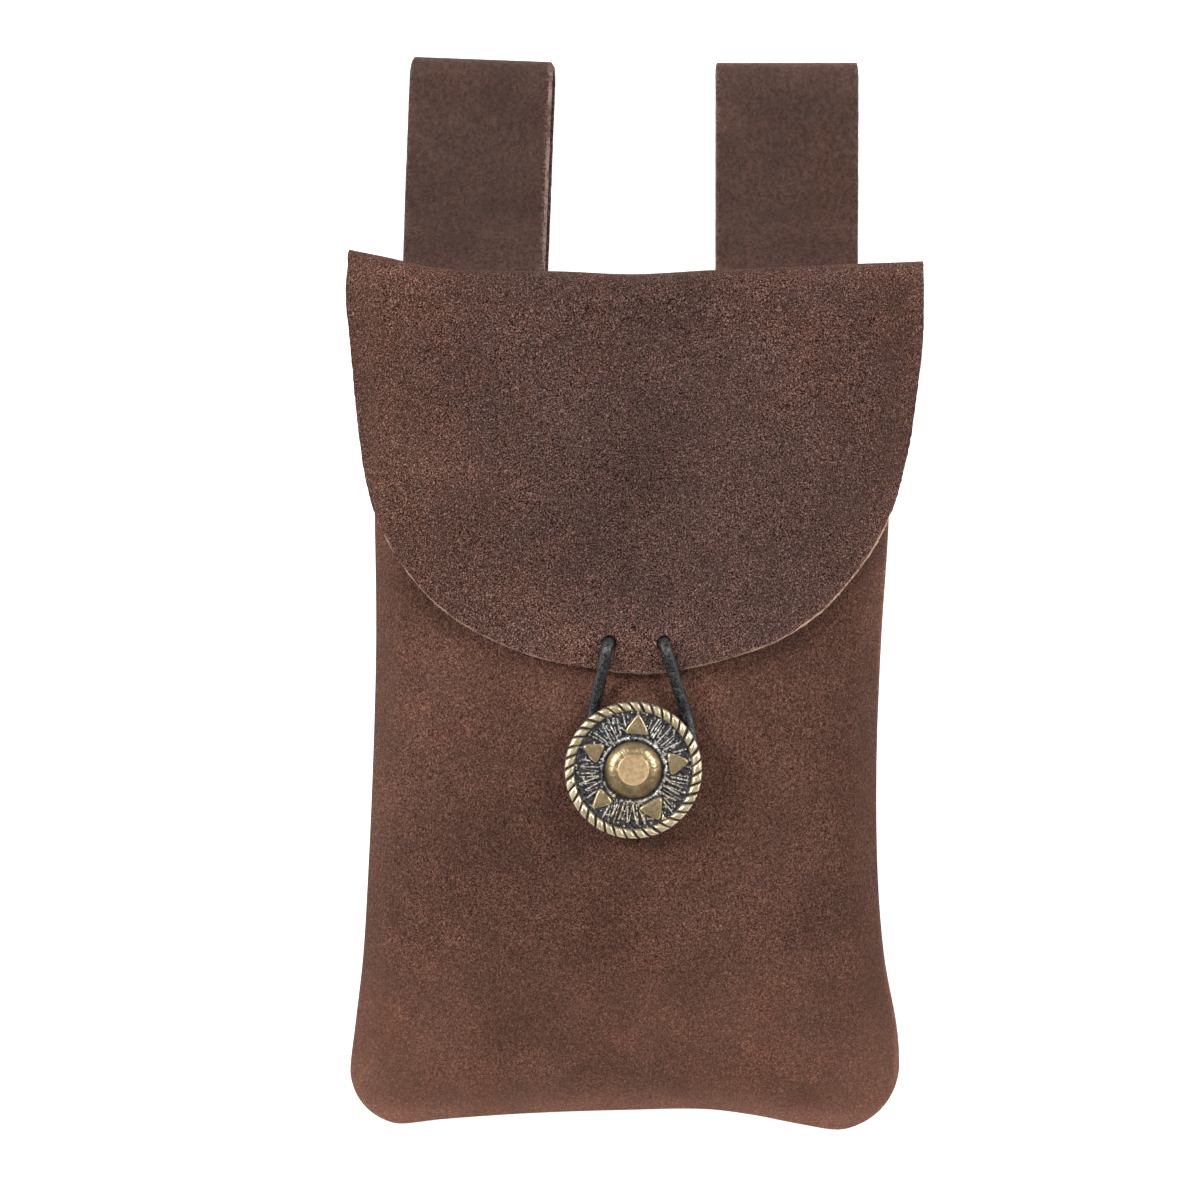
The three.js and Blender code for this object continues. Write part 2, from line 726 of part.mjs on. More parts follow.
// A closed loop: behind the flap from hole to hole, out of both holes, and down round the post.
function closureCord() {
  const lift = cordRadius + cordClearance;
  const behind = (x) => flapHeight(x, holeY) - leather / 2 - lift;
  const onFlap = (x, y) => flapTop(x, y) + lift;
  const onFront = (x, y) => bagTop(x, y) + lift;
  // One side of the loop, from behind the flap out to where it passes under the button.
  const strand = (hole, wide) => {
    const side = Math.sign(wide - hole);
    const points = [];
    const bend = [0, Math.PI / 6, Math.PI / 3];
    const backZ = behind(hole);
    bend.forEach((angle) => {
      const away = cordBend * (1 - Math.sin(angle));
      points.push(at(hole - side * away, holeY, backZ + cordBend * (1 - Math.cos(angle))));
    });
    points.push(at(hole, holeY, flapHeight(hole, holeY)));
    const rimY = buttonY + buttonRadius * 0.82;
    const rimX = lerp(hole, wide, 0.72);
    const towards = at(rimX - hole, rimY - holeY, 0).normalize();
    const frontZ = onFlap(hole + towards.x * cordBend, holeY + towards.y * cordBend);
    [...bend].reverse().forEach((angle) => {
      const away = cordBend * (1 - Math.sin(angle));
      const drop = cordBend * (1 - Math.cos(angle));
      points.push(
        at(hole + towards.x * away, holeY + towards.y * away, frontZ - drop),
      );
    });
    const edge = at(hole, holeY, 0).addScaledVector(towards, holeUp + 0.4);
    points.push(at(edge.x, edge.y, onFlap(edge.x, Math.max(edge.y, tipY + 1)) - 0.2));
    const half = at(hole, holeY, 0).lerp(at(rimX, rimY, 0), 0.78);
    points.push(at(half.x, half.y, lerp(onFront(half.x, half.y), onFlap(half.x, tipY + 1), 0.4)));
    points.push(at(rimX, rimY, onFront(rimX, rimY)));
    const low = lerp(rimY, buttonY, 0.55);
    points.push(at(lerp(rimX, wide, 0.75), low, onFront(rimX, low)));
    return points;
  };
  const left = strand(holes.left, cordLoop.left);
  const right = strand(holes.right, cordLoop.right);
  const middle = (cordLoop.left + cordLoop.right) / 2;
  const halfWide = (cordLoop.right - cordLoop.left) / 2;
  const round = [180, 205, 235, 270, 305, 335, 360].map((degrees) => {
    const angle = THREE.MathUtils.degToRad(degrees);
    const x = middle + halfWide * Math.cos(angle);
    const y = buttonY + cordLoop.below * Math.sin(angle);
    return at(x, y, onFront(x, y));
  });
  const between = (holes.left + holes.right) / 2;
  const points = [at(between, holeY, behind(between)), ...left, ...round, ...right.reverse()];
  const curve = new THREE.CatmullRomCurve3(points, true, "centripetal");
  const tube = new THREE.TubeGeometry(curve, cordSteps, cordRadius, 8, true);
  return geometryFrom(solidFrom(tube));
}

// Button

// Height of the cast face above the flat field, without rays and ribs.
function faceHeight(r, angle) {
  const ropeMiddle = buttonRadius - ropeWidth / 2;
  const out = (r - ropeMiddle) / (ropeWidth / 2);
  if (Math.abs(out) <= 1) {
    const strand = Math.sin((angle * ropeStrands) / 2) ** 2;
    const round = Math.sqrt(Math.max(0, 1 - 0.86 * out * out));
    return (ropeHeight - plateThickness) * round - ropeGroove * (1 - strand);
  }
  if (r <= discRadius) return domeHeight + discHeight;
  if (r <= domeRadius) {
    const share = (r - discRadius) / (domeRadius - discRadius);
    return domeHeight * Math.sqrt(Math.max(0, 1 - share ** 2.2));
  }
  return beadHeight * bell((r - beadRadius) / beadWidth);
}

function buttonPlate() {
  const sides = ropeStrands * 2;
  const inRope = (share) => buttonRadius - ropeWidth * (1 - share);
  const radii = [
    buttonRadius - plateChamfer,
    buttonRadius - castWall,
    inRope(0.86),
    inRope(0.5),
    inRope(0.14),
    inRope(-0.02),
    beadRadius + 1.5 * beadWidth,
    beadRadius,
    domeRadius + castWall,
    domeRadius - domeShoulder,
    lerp(discRadius, domeRadius, 0.5),
    discRadius + castWall,
    discRadius - discChamfer,
  ];
  const twist = THREE.MathUtils.degToRad(ropeLean) / ropeWidth;
  const points = [];
  radii.forEach((r, row) => {
    const inner = Math.max(r, inRope(0));
    for (let k = 0; k < sides; k += 1) {
      const angle = (2 * Math.PI * k) / sides;
      const turned = angle + twist * (inner - buttonRadius);
      const z = row === 0 ? 0 : plateThickness + faceHeight(r, angle);
      const wall = row === 1 ? plateThickness * 0.75 : z;
      points.push(at(r * Math.cos(turned), r * Math.sin(turned), wall));
    }
  });
  const top = points.push(at(0, 0, plateThickness + domeHeight + discHeight)) - 1;
  const under = points.push(at(0, 0, 0)) - 1;
  const triangles = [];
  const index = (row, k) => row * sides + (k % sides);
  for (let k = 0; k < sides; k += 1) {
    for (let row = 0; row < radii.length - 1; row += 1) {
      const a = index(row, k);
      const b = index(row, k + 1);
      const c = index(row + 1, k + 1);
      const d = index(row + 1, k);
      triangles.push(a, b, c, a, c, d);
    }
    triangles.push(index(radii.length - 1, k), index(radii.length - 1, k + 1), top);
    triangles.push(index(0, k + 1), index(0, k), under);
  }
  return meshOf(points, triangles);
}

// A flat-topped ray of the star, pointing outwards.
function ray(angle, half) {
  const shape = new THREE.Shape([
    new THREE.Vector2(rayTip, 0),
    new THREE.Vector2(rayFoot, half * rayHalfWidth),
    new THREE.Vector2(rayFoot, -half * rayHalfWidth),
  ]);
  const depth = plateThickness / 2 + rayHeight;
  const geometry = new THREE.ExtrudeGeometry(shape, { depth, bevelEnabled: false });
  geometry.translate(0, 0, plateThickness / 2);
  return geometry.rotateZ(angle);
}

// A raised line of the field between two rays, a ridge with a sharp back.
function rib(angle, from, to) {
  const shape = new THREE.Shape([
    new THREE.Vector2(-ribWidth / 2, -plateThickness / 2),
    new THREE.Vector2(ribWidth / 2, -plateThickness / 2),
    new THREE.Vector2(0, ribHeight),
  ]);
  const geometry = new THREE.ExtrudeGeometry(shape, { depth: to - from, bevelEnabled: false });
  geometry.rotateX(Math.PI / 2).rotateZ(Math.PI / 2);
  geometry.translate(from, 0, plateThickness);
  return geometry.rotateZ(angle);
}

function button() {
  let solid = solidFrom(buttonPlate());
  const postLength = cordDiameter + 2 * cordClearance - seat;
  solid = solid.add(solidFrom(rod(postRadius, -postLength, plateThickness / 2, 20)));
  const fieldEnd = buttonRadius - ropeWidth + ribBite;
  rays.forEach(({ turn, half }, k) => {
    const next = k + 1 < rays.length ? rays[k + 1].turn : rays[0].turn + 360;
    solid = solid.add(solidFrom(ray(THREE.MathUtils.degToRad(turn), half)));
    for (let m = 1; m <= ribsPerField; m += 1) {
      const share = lerp(0.14, 0.86, m / (ribsPerField + 1));
      const angle = THREE.MathUtils.degToRad(lerp(turn, next, share));
      solid = solid.add(solidFrom(rib(angle, beadRadius + ribInset, fieldEnd)));
    }
  });
  const bore = rod(screwRadius + screwClearance, -postLength - 1, plateThickness * 0.3, 16);
  return geometryFrom(solid.subtract(solidFrom(bore)));
}

// The screw that holds the button from inside the bag, its head against the leather.
function buttonScrew() {
  const head = leather + cordDiameter + 2 * cordClearance + seat + headClearance;
  const profile = [
    [0, -screwHeadHeight],
    [screwHeadRadius * 0.8, -screwHeadHeight],
    [screwHeadRadius, -screwHeadHeight * 0.5],
    [screwHeadRadius, 0],
    [screwRadius, 0],
    [screwRadius, head - screwClearance],
    [0, head - screwClearance],
  ].map(([r, z]) => new THREE.Vector2(r, z - head));
  const geometry = new THREE.LatheGeometry(profile, 24);
  geometry.rotateX(Math.PI / 2);
  return geometryFrom(solidFrom(geometry));
}

// Assembly

const suede = { color: 0x5f4337, roughness: 0.95, metalness: 0 };
const looks = {
  suede: new THREE.MeshStandardMaterial(suede),
  cord: new THREE.MeshStandardMaterial({ color: 0x2b2b2c, roughness: 0.6, metalness: 0 }),
  brass: new THREE.MeshStandardMaterial({ color: 0xa58c57, roughness: 0.35, metalness: 1 }),
};

function piece(name, geometry, look) {
  const mesh = new THREE.Mesh(geometry, look);
  mesh.name = name;
  return mesh;
}

const pouch = new THREE.Group();
pouch.name = "belt_pouch";
pouch.add(piece("front_panel", frontPanel(), looks.suede));
pouch.add(piece("back_panel_and_flap", backAndFlap(), looks.suede));
for (const loop of loops) pouch.add(piece(loop.name, beltLoop(loop), looks.suede));
pouch.add(piece("closure_cord", closureCord(), looks.cord));

// The button stands square on the front where it sits, by the room that the cord needs.
const fastening = new THREE.Group();
const seatReach = buttonRadius / 3;
const slope = (bagTop(0, buttonY + seatReach) - bagTop(0, buttonY - seatReach)) / (2 * seatReach);
fastening.rotation.x = Math.atan(slope);
fastening.position.set(0, buttonY, bagTop(0, buttonY));
fastening.translateZ(cordDiameter + 2 * cordClearance);
fastening.add(piece("button", button(), looks.brass));
fastening.add(piece("button_screw", buttonScrew(), looks.brass));
pouch.add(fastening);

export default pouch;
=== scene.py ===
"""Looks of a medieval belt pouch of suede leather, lying on its back, closed.

Lengths in the code are millimetres until a mesh is made, and then metres.
"""

import math

import bpy
import numpy as np
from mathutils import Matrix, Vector, kdtree


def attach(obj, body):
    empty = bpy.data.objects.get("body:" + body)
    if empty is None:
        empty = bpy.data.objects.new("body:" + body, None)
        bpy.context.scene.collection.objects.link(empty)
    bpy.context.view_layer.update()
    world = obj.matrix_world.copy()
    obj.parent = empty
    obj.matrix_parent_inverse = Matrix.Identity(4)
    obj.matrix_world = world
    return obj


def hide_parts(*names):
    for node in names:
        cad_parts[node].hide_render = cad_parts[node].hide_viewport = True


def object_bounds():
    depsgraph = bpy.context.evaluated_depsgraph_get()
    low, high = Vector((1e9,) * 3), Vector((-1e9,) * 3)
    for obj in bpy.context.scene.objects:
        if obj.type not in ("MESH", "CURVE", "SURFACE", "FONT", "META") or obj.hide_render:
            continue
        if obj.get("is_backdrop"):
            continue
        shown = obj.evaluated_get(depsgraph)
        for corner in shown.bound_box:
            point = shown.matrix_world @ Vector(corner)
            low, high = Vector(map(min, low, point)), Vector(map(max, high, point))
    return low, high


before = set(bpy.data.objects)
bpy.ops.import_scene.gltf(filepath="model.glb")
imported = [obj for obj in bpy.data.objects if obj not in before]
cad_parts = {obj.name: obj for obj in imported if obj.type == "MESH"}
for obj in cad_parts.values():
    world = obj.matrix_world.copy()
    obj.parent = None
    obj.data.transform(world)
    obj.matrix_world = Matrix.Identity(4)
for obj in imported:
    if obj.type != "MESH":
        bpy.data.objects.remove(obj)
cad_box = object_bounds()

MM = 0.001
scene = bpy.context.scene

# Camera: straight above the pouch, as the photograph has it. The frame is square, and a pixel of
# it is 0.22 mm on the level of the seams. ORIGIN_X, ORIGIN_Y is the pixel where the origin lies.
FRAME, ORIGIN_X, ORIGIN_Y, PIXEL = 1200, 633, 690, 0.22
CAMERA_UP, SEAM_LEVEL, SENSOR = 2500.0, 9.0, 36.0
camera_data = bpy.data.cameras.new("camera")
camera_data.sensor_width = SENSOR
camera_data.lens = SENSOR * (CAMERA_UP - SEAM_LEVEL) / (FRAME * PIXEL)
camera_data.clip_start, camera_data.clip_end = 0.05, 30.0
camera = bpy.data.objects.new("camera", camera_data)
scene.collection.objects.link(camera)
aside, along = (FRAME / 2 - ORIGIN_X) * PIXEL, (ORIGIN_Y - FRAME / 2) * PIXEL
camera.location = (aside * MM, along * MM, CAMERA_UP * MM)
scene.camera = camera
scene.view_settings.view_transform = "Standard"
scene.view_settings.look = "None"

# Sizes, the same as the solids' own
LEATHER, STRAP, SEAT = 1.5, 1.8, 0.3
BODY_LENGTH, BAG_WIDTH, MOUTH_DROP = 184.0, 120.0, 12.0
SEAM_HEIGHT, SEAM_ALLOWANCE, ROLL_RADIUS = 8.0, 6.0, 0.95
EDGE_LIFT, EDGE_REACH, CROWN_HEIGHT, BACK_CURL = 3.0, 4.0, 14.0, 16.0
FLAP_WIDTH, FLAP_LENGTH, FLAP_TIP = 127.0, 88.2, 3.0
FLAP_STAND_OFF, MOUTH_STAND_OFF, TIP_PINCH = 2.6, 0.8, 2.0
FLAP_DROOP, CORNER_DROOP = 2.2, 3.2
LOOP_WIDTH, LOOP_TUCK, LOOP_OPENING, LOOP_RISE = 31.2, 27.0, 6.4, 24.0
CORD, CORD_CLEARANCE, CORD_BEND = 2.7, 0.4, 2.2
HOLE_UP, HOLE_LEFT, HOLE_RIGHT = 6.8, -5.3, 6.6
CORD_LEFT, CORD_RIGHT, CORD_BELOW = -10.2, 13.3, 8.6
BUTTON_RADIUS, BUTTON_DOWN = 15.0, 17.1

HALF_LENGTH, HALF_BAG, HALF_FLAP = BODY_LENGTH / 2, BAG_WIDTH / 2, FLAP_WIDTH / 2
FOLD_Y = HALF_LENGTH
MOUTH_Y = FOLD_Y - MOUTH_DROP
TIP_Y = FOLD_Y - FLAP_LENGTH
HOLE_Y = TIP_Y + HOLE_UP
BUTTON_Y = -BUTTON_DOWN
STRAP_LIFT = 2 * STRAP + 2 * SEAT
LOOP_END_Y = FOLD_Y - LOOP_TUCK
ROLL_OUTER = ROLL_RADIUS + LEATHER / 2
ROLL_START = math.pi / 4
ROLL_HEIGHT = SEAT / 2 + LEATHER / 2 + ROLL_RADIUS * (1 + math.sin(ROLL_START))
HOLE_RADIUS = CORD / 2 + 0.06

SIDES_UP = [0.87, 0.41, 0.12, -0.17, -0.45, -0.64, -0.8]
SIDES_LEFT = [0.965, 0.947, 0.942, 0.953, 0.972, 0.99, 1.018]
SIDES_RIGHT = [0.955, 0.938, 0.91, 0.893, 0.898, 0.922, 0.966]
CORNER_LEFT = (-0.833, -0.905, 12.2, 182, 262)
CORNER_RIGHT = (0.73, -0.891, 14.8, 276, 364)
CORNER_RUN = (CORNER_LEFT[2] + CORNER_RIGHT[2]) * math.pi / 8
BOTTOM = [(-0.7, -1.026), (-0.39, -1.012), (-0.04, -1.004), (0.27, -1.002), (0.443, -1.016), (0.6, -1.036)]
FULL_UP = [0, 0.06, 0.12, 0.22, 0.35, 0.48, 0.62, 0.76, 0.88, 1]
FULL_CROWN = [0, 0.27, 0.47, 0.72, 0.93, 1, 0.93, 0.68, 0.36, 0.1]
FULL_LIFT = [1, 1, 1, 1, 1, 1, 1, 0.95, 0.75, 0.4]
FLAP_DOWN = [0.06, 0.167, 0.316, 0.416, 0.516, 0.593, 0.677, 0.768, 0.845, 0.891, 0.93, 0.96, 0.985]
FLAP_LEFT = [0.994, 0.98, 0.959, 0.942, 0.92, 0.891, 0.843, 0.757, 0.651, 0.557, 0.446, 0.33, 0.16]
FLAP_RIGHT = [1.006, 1.003, 0.98, 0.959, 0.925, 0.893, 0.84, 0.75, 0.652, 0.566, 0.466, 0.34, 0.2]
FLAP_CORNER_ROW = 7
FLAP_PARTS = 51.0
FOLD_ACROSS = [-1, -0.87, -0.7, -0.5, -0.25, 0, 0.25, 0.6, 0.87, 1]
FOLD_RISE = [5, 3.3, 1, 0.2, 0.1, -0.5, 0.3, 1.3, 2, 2.4]


# Curves and surfaces

def lerp(a, b, t):
    return a + (b - a) * t


def smooth(x):
    x = np.clip(x, 0, 1)
    return x * x * (3 - 2 * x)


def bell(x):
    return np.exp(-np.square(x))


def rotated(x, y, angle):
    return x * math.cos(angle) - y * math.sin(angle), x * math.sin(angle) + y * math.cos(angle)


def unit(vector):
    return vector / np.linalg.norm(vector)


def nearest_of(points, numbers):
    """A tree that finds the nearest of some numbered points."""
    tree = kdtree.KDTree(len(points))
    for point, number in zip(points, numbers):
        tree.insert(point, number)
    tree.balance()
    return tree


def through(xs, ys):
    """A smooth function through the points of a table, level beyond its ends."""
    order = np.argsort(xs)
    xs, ys = np.array(xs, float)[order], np.array(ys, float)[order]
    last = len(xs) - 1
    a, b = np.maximum(np.arange(last + 1) - 1, 0), np.minimum(np.arange(last + 1) + 1, last)
    slope = (ys[b] - ys[a]) / (xs[b] - xs[a])

    def value(x):
        x = np.clip(x, xs[0], xs[-1])
        i = np.clip(np.searchsorted(xs, x, side="left") - 1, 0, last - 1)
        width = xs[i + 1] - xs[i]
        t = (x - xs[i]) / width
        tangents = t * (1 - t) ** 2 * slope[i] - t * t * (1 - t) * slope[i + 1]
        return lerp(ys[i], ys[i + 1], t * t * (3 - 2 * t)) + width * tangents

    return value


def spline(points, fine, closed=False):
    """A centripetal Catmull-Rom line through points, with `fine` steps in each stretch."""
    p = np.array(points, float)
    if closed:
        p = np.vstack([p[-1:], p, p[:2]])
    else:
        p = np.vstack([2 * p[0] - p[1], p, 2 * p[-1] - p[-2]])
    out = []
    for i in range(1, len(p) - 2):
        d = [max(np.linalg.norm(p[k + 1] - p[k]), 1e-6) ** 0.5 for k in (i - 1, i, i + 1)]
        t1 = (p[i] - p[i - 1]) / d[0] - (p[i + 1] - p[i - 1]) / (d[0] + d[1])
        t1 = (t1 + (p[i + 1] - p[i]) / d[1]) * d[1]
        t2 = (p[i + 1] - p[i]) / d[1] - (p[i + 2] - p[i]) / (d[1] + d[2])
        t2 = (t2 + (p[i + 2] - p[i + 1]) / d[2]) * d[1]
        t = (np.arange(fine) / fine)[:, None]
        c2 = -3 * p[i] + 3 * p[i + 1] - 2 * t1 - t2
        c3 = 2 * p[i] - 2 * p[i + 1] + t1 + t2
        out.append(p[i] + t1 * t + c2 * t**2 + c3 * t**3)
    if not closed:
        out.append(p[-2][None])
    return np.vstack(out)


def respaced(points, shares):
    """The same line with a point at each of the shares of its length."""
    along = np.concatenate([[0], np.cumsum(np.linalg.norm(np.diff(points, axis=0), axis=1))])
    want = np.asarray(shares) * along[-1]
    return np.stack([np.interp(want, along, points[:, k]) for k in range(points.shape[1])], 1)


def three_edges(line, first, second, shares):
    """A line cut at two of its points, each part respaced by its own shares."""
    parts = line[: first + 1], line[first : second + 1], line[second:]
    return [respaced(part, share) for part, share in zip(parts, shares)]


def closer_at_start(count, near, part):
    k = np.arange(count + 1)
    return np.where(k <= near, part * k / near, part + (1 - part) * (k - near) / (count - near))


def closer_at_ends(count, near, part):
    half = closer_at_start(count // 2, near, part * 2) / 2
    return np.concatenate([half, 1 - half[:-1][::-1]])


def patch(left, right, bottom, top, across, up):
    """A four-sided patch inside its edges, as rows of points from bottom to top."""
    u, v = across[None, :, None], up[:, None, None]
    sides = lerp(left[:, None], right[:, None], u)
    ends = lerp(bottom[None], top[None], v)
    return sides + ends - lerp(lerp(bottom[0], bottom[-1], u), lerp(top[0], top[-1], u), v)


def waves(seed, count, shortest, longest):
    """A soft undulation of height about 1 over the plane: a sum of a few plane waves."""
    r = np.random.default_rng(seed)
    angle = r.uniform(0, 2 * math.pi, count)
    length = np.exp(r.uniform(math.log(shortest), math.log(longest), count))
    phase = r.uniform(0, 2 * math.pi, count)
    kx, ky = 2 * math.pi * np.cos(angle) / length, 2 * math.pi * np.sin(angle) / length

    def value(x, y):
        x, y = np.asarray(x, float), np.asarray(y, float)
        total = np.zeros(np.broadcast(x, y).shape)
        for a, b, c in zip(kx, ky, phase):
            total = total + np.sin(a * x + b * y + c)
        return total / math.sqrt(count / 2)

    return value


def mottle(x, y, cell, seed):
    """Smooth random values between -1 and 1 over the plane, one to each cell."""
    table = np.random.default_rng(seed).uniform(-1, 1, (64, 64))
    gx, gy = np.asarray(x, float) / cell + 31.7, np.asarray(y, float) / cell + 17.3
    ix, iy = np.floor(gx).astype(int), np.floor(gy).astype(int)
    fx, fy = smooth(gx - ix), smooth(gy - iy)
    corner = lambda a, b: table[(ix + a) % 64, (iy + b) % 64]
    return lerp(lerp(corner(0, 0), corner(1, 0), fx), lerp(corner(0, 1), corner(1, 1), fx), fy)


crown_at = through(FULL_UP, FULL_CROWN)
lift_at = through(FULL_UP, FULL_LIFT)
left_at = through(SIDES_UP, SIDES_LEFT)
right_at = through(SIDES_UP, SIDES_RIGHT)
rise_at = through(FOLD_ACROSS, FOLD_RISE)
bottom_at = through(*zip(*BOTTOM))
flap_right_at = through(FLAP_DOWN, FLAP_RIGHT)
body_waves = waves(11, 9, 18, 60)
flap_waves = waves(23, 9, 20, 70)
loop_waves = waves(47, 6, 12, 30)


def from_seams(u, v):
    """Distances from the side seam and from the bottom seam."""
    return np.maximum(0, 1 - np.abs(u)) * HALF_BAG, v * (BODY_LENGTH - MOUTH_DROP)


def front_height(u, v):
    """Middle of the front panel's leather."""
    from_side, from_bottom = from_seams(u, v)
    spring = (1 - np.exp(-from_side / EDGE_REACH)) * (1 - np.exp(-from_bottom / EDGE_REACH))
    dome = 1 - np.abs(u) ** 2.2
    base = SEAM_HEIGHT + ROLL_HEIGHT
    return base + EDGE_LIFT * lift_at(v) * spring + CROWN_HEIGHT * crown_at(v) * dome


def back_height(u, v):
    """Middle of the back panel's leather."""
    low = LEATHER / 2
    from_side, from_bottom = from_seams(u, v)
    curl = lambda d: np.maximum(0, 1 - d / BACK_CURL) ** 3
    edge = 1 - (1 - curl(from_side)) * (1 - curl(from_bottom))
    y = lerp(-HALF_LENGTH, MOUTH_Y, v)
    raised = low + STRAP_LIFT * smooth((y - LOOP_END_Y + 22) / 14)
    return lerp(raised, SEAM_HEIGHT - ROLL_HEIGHT, edge)


def on_bag(x, y):
    share = y / HALF_LENGTH
    left, right = -left_at(share) * HALF_BAG, right_at(share) * HALF_BAG
    v = np.clip((y + HALF_LENGTH) / (MOUTH_Y + HALF_LENGTH), 0, 1)
    return (2 * x - left - right) / (right - left), v


def front_top(x, y):
    u, v = on_bag(x, y)
    return front_height(u, v) + LEATHER / 2


def flap_gap(x, y):
    opened = smooth((MOUTH_Y - y) / 34)
    needed = CORD + 2 * CORD_CLEARANCE - FLAP_STAND_OFF
    middle = (HOLE_LEFT + HOLE_RIGHT) / 2
    over_cord = (needed + 0.4) * bell((x - middle) / 16) * bell((y - HOLE_Y) / 12)
    pinch = TIP_PINCH * bell((x - FLAP_TIP) / 22) * bell((y - TIP_Y) / 3.6)
    return lerp(MOUTH_STAND_OFF, FLAP_STAND_OFF, opened) + over_cord - pinch


def flap_height(x, y):
    """Middle of the flap's leather."""
    u, v = on_bag(x, y)
    across = np.minimum(np.abs(u), 1)
    past = np.maximum(0, np.abs(u) - 0.95) * HALF_BAG
    top = smooth((y - TIP_Y - FLAP_LENGTH / 2) / (FLAP_LENGTH / 2))
    droop = FLAP_DROOP * across**4 * (1 - top) + CORNER_DROOP * smooth(past / 8)
    base = SEAM_HEIGHT + ROLL_HEIGHT + EDGE_LIFT * lift_at(v)
    return base + CROWN_HEIGHT * crown_at(v) * (1 - across**2.2) + LEATHER + flap_gap(x, y) - droop


# Sheets of leather

class Sheet:
    """Points on the middle of the leather, and four-cornered faces between them."""

    def __init__(self):
        self.points, self.faces, self.count = [], [], 0

    def row(self, points):
        points = np.asarray(points, float)
        self.points.append(points)
        self.count += len(points)
        return np.arange(self.count - len(points), self.count)

    def join(self, lower, upper, flip=False):
        face = np.stack([lower[:-1], lower[1:], upper[1:], upper[:-1]], 1)
        self.faces.append(face[:, ::-1] if flip else face)

    def grow(self, previous, points):
        """A row that goes on from the one before, seen from its other side."""
        following = self.row(points)
        if previous is not None:
            self.join(previous, following, True)
        return following


def new_mesh(name, points, faces, sharp_degrees):
    """A smooth mesh of points in millimetres, sharp where it turns by more than that angle."""
    me = bpy.data.meshes.new(name)
    me.from_pydata((np.asarray(points) * MM).tolist(), [], faces)
    me.polygons.foreach_set("use_smooth", np.ones(len(me.polygons), bool))
    me.set_sharp_from_angle(angle=math.radians(sharp_degrees))
    me.update()
    return me


def mark(me, label, *values):
    """A named value at every point of a mesh, which its material reads."""
    layer = me.attributes.new(label, "FLOAT", "POINT")
    layer.data.foreach_set("value", np.concatenate(values).astype(np.float32))


def ring_faces(lower, upper, sides):
    """Faces between two rings of points, which begin at those numbers."""
    k = np.arange(sides)
    j = (k + 1) % sides
    return np.stack([lower + k, lower + j, upper + j, upper + k], 1)


def tube_faces(start, rings, sides):
    """Faces of a tube with closed ends, whose points begin at that number."""
    faces = []
    for low in range(start, start + (rings - 1) * sides, sides):
        faces += ring_faces(low, low + sides, sides).tolist()
    last = start + (rings - 1) * sides
    return faces + [list(range(start, start + sides))[::-1], list(range(last, last + sides))]


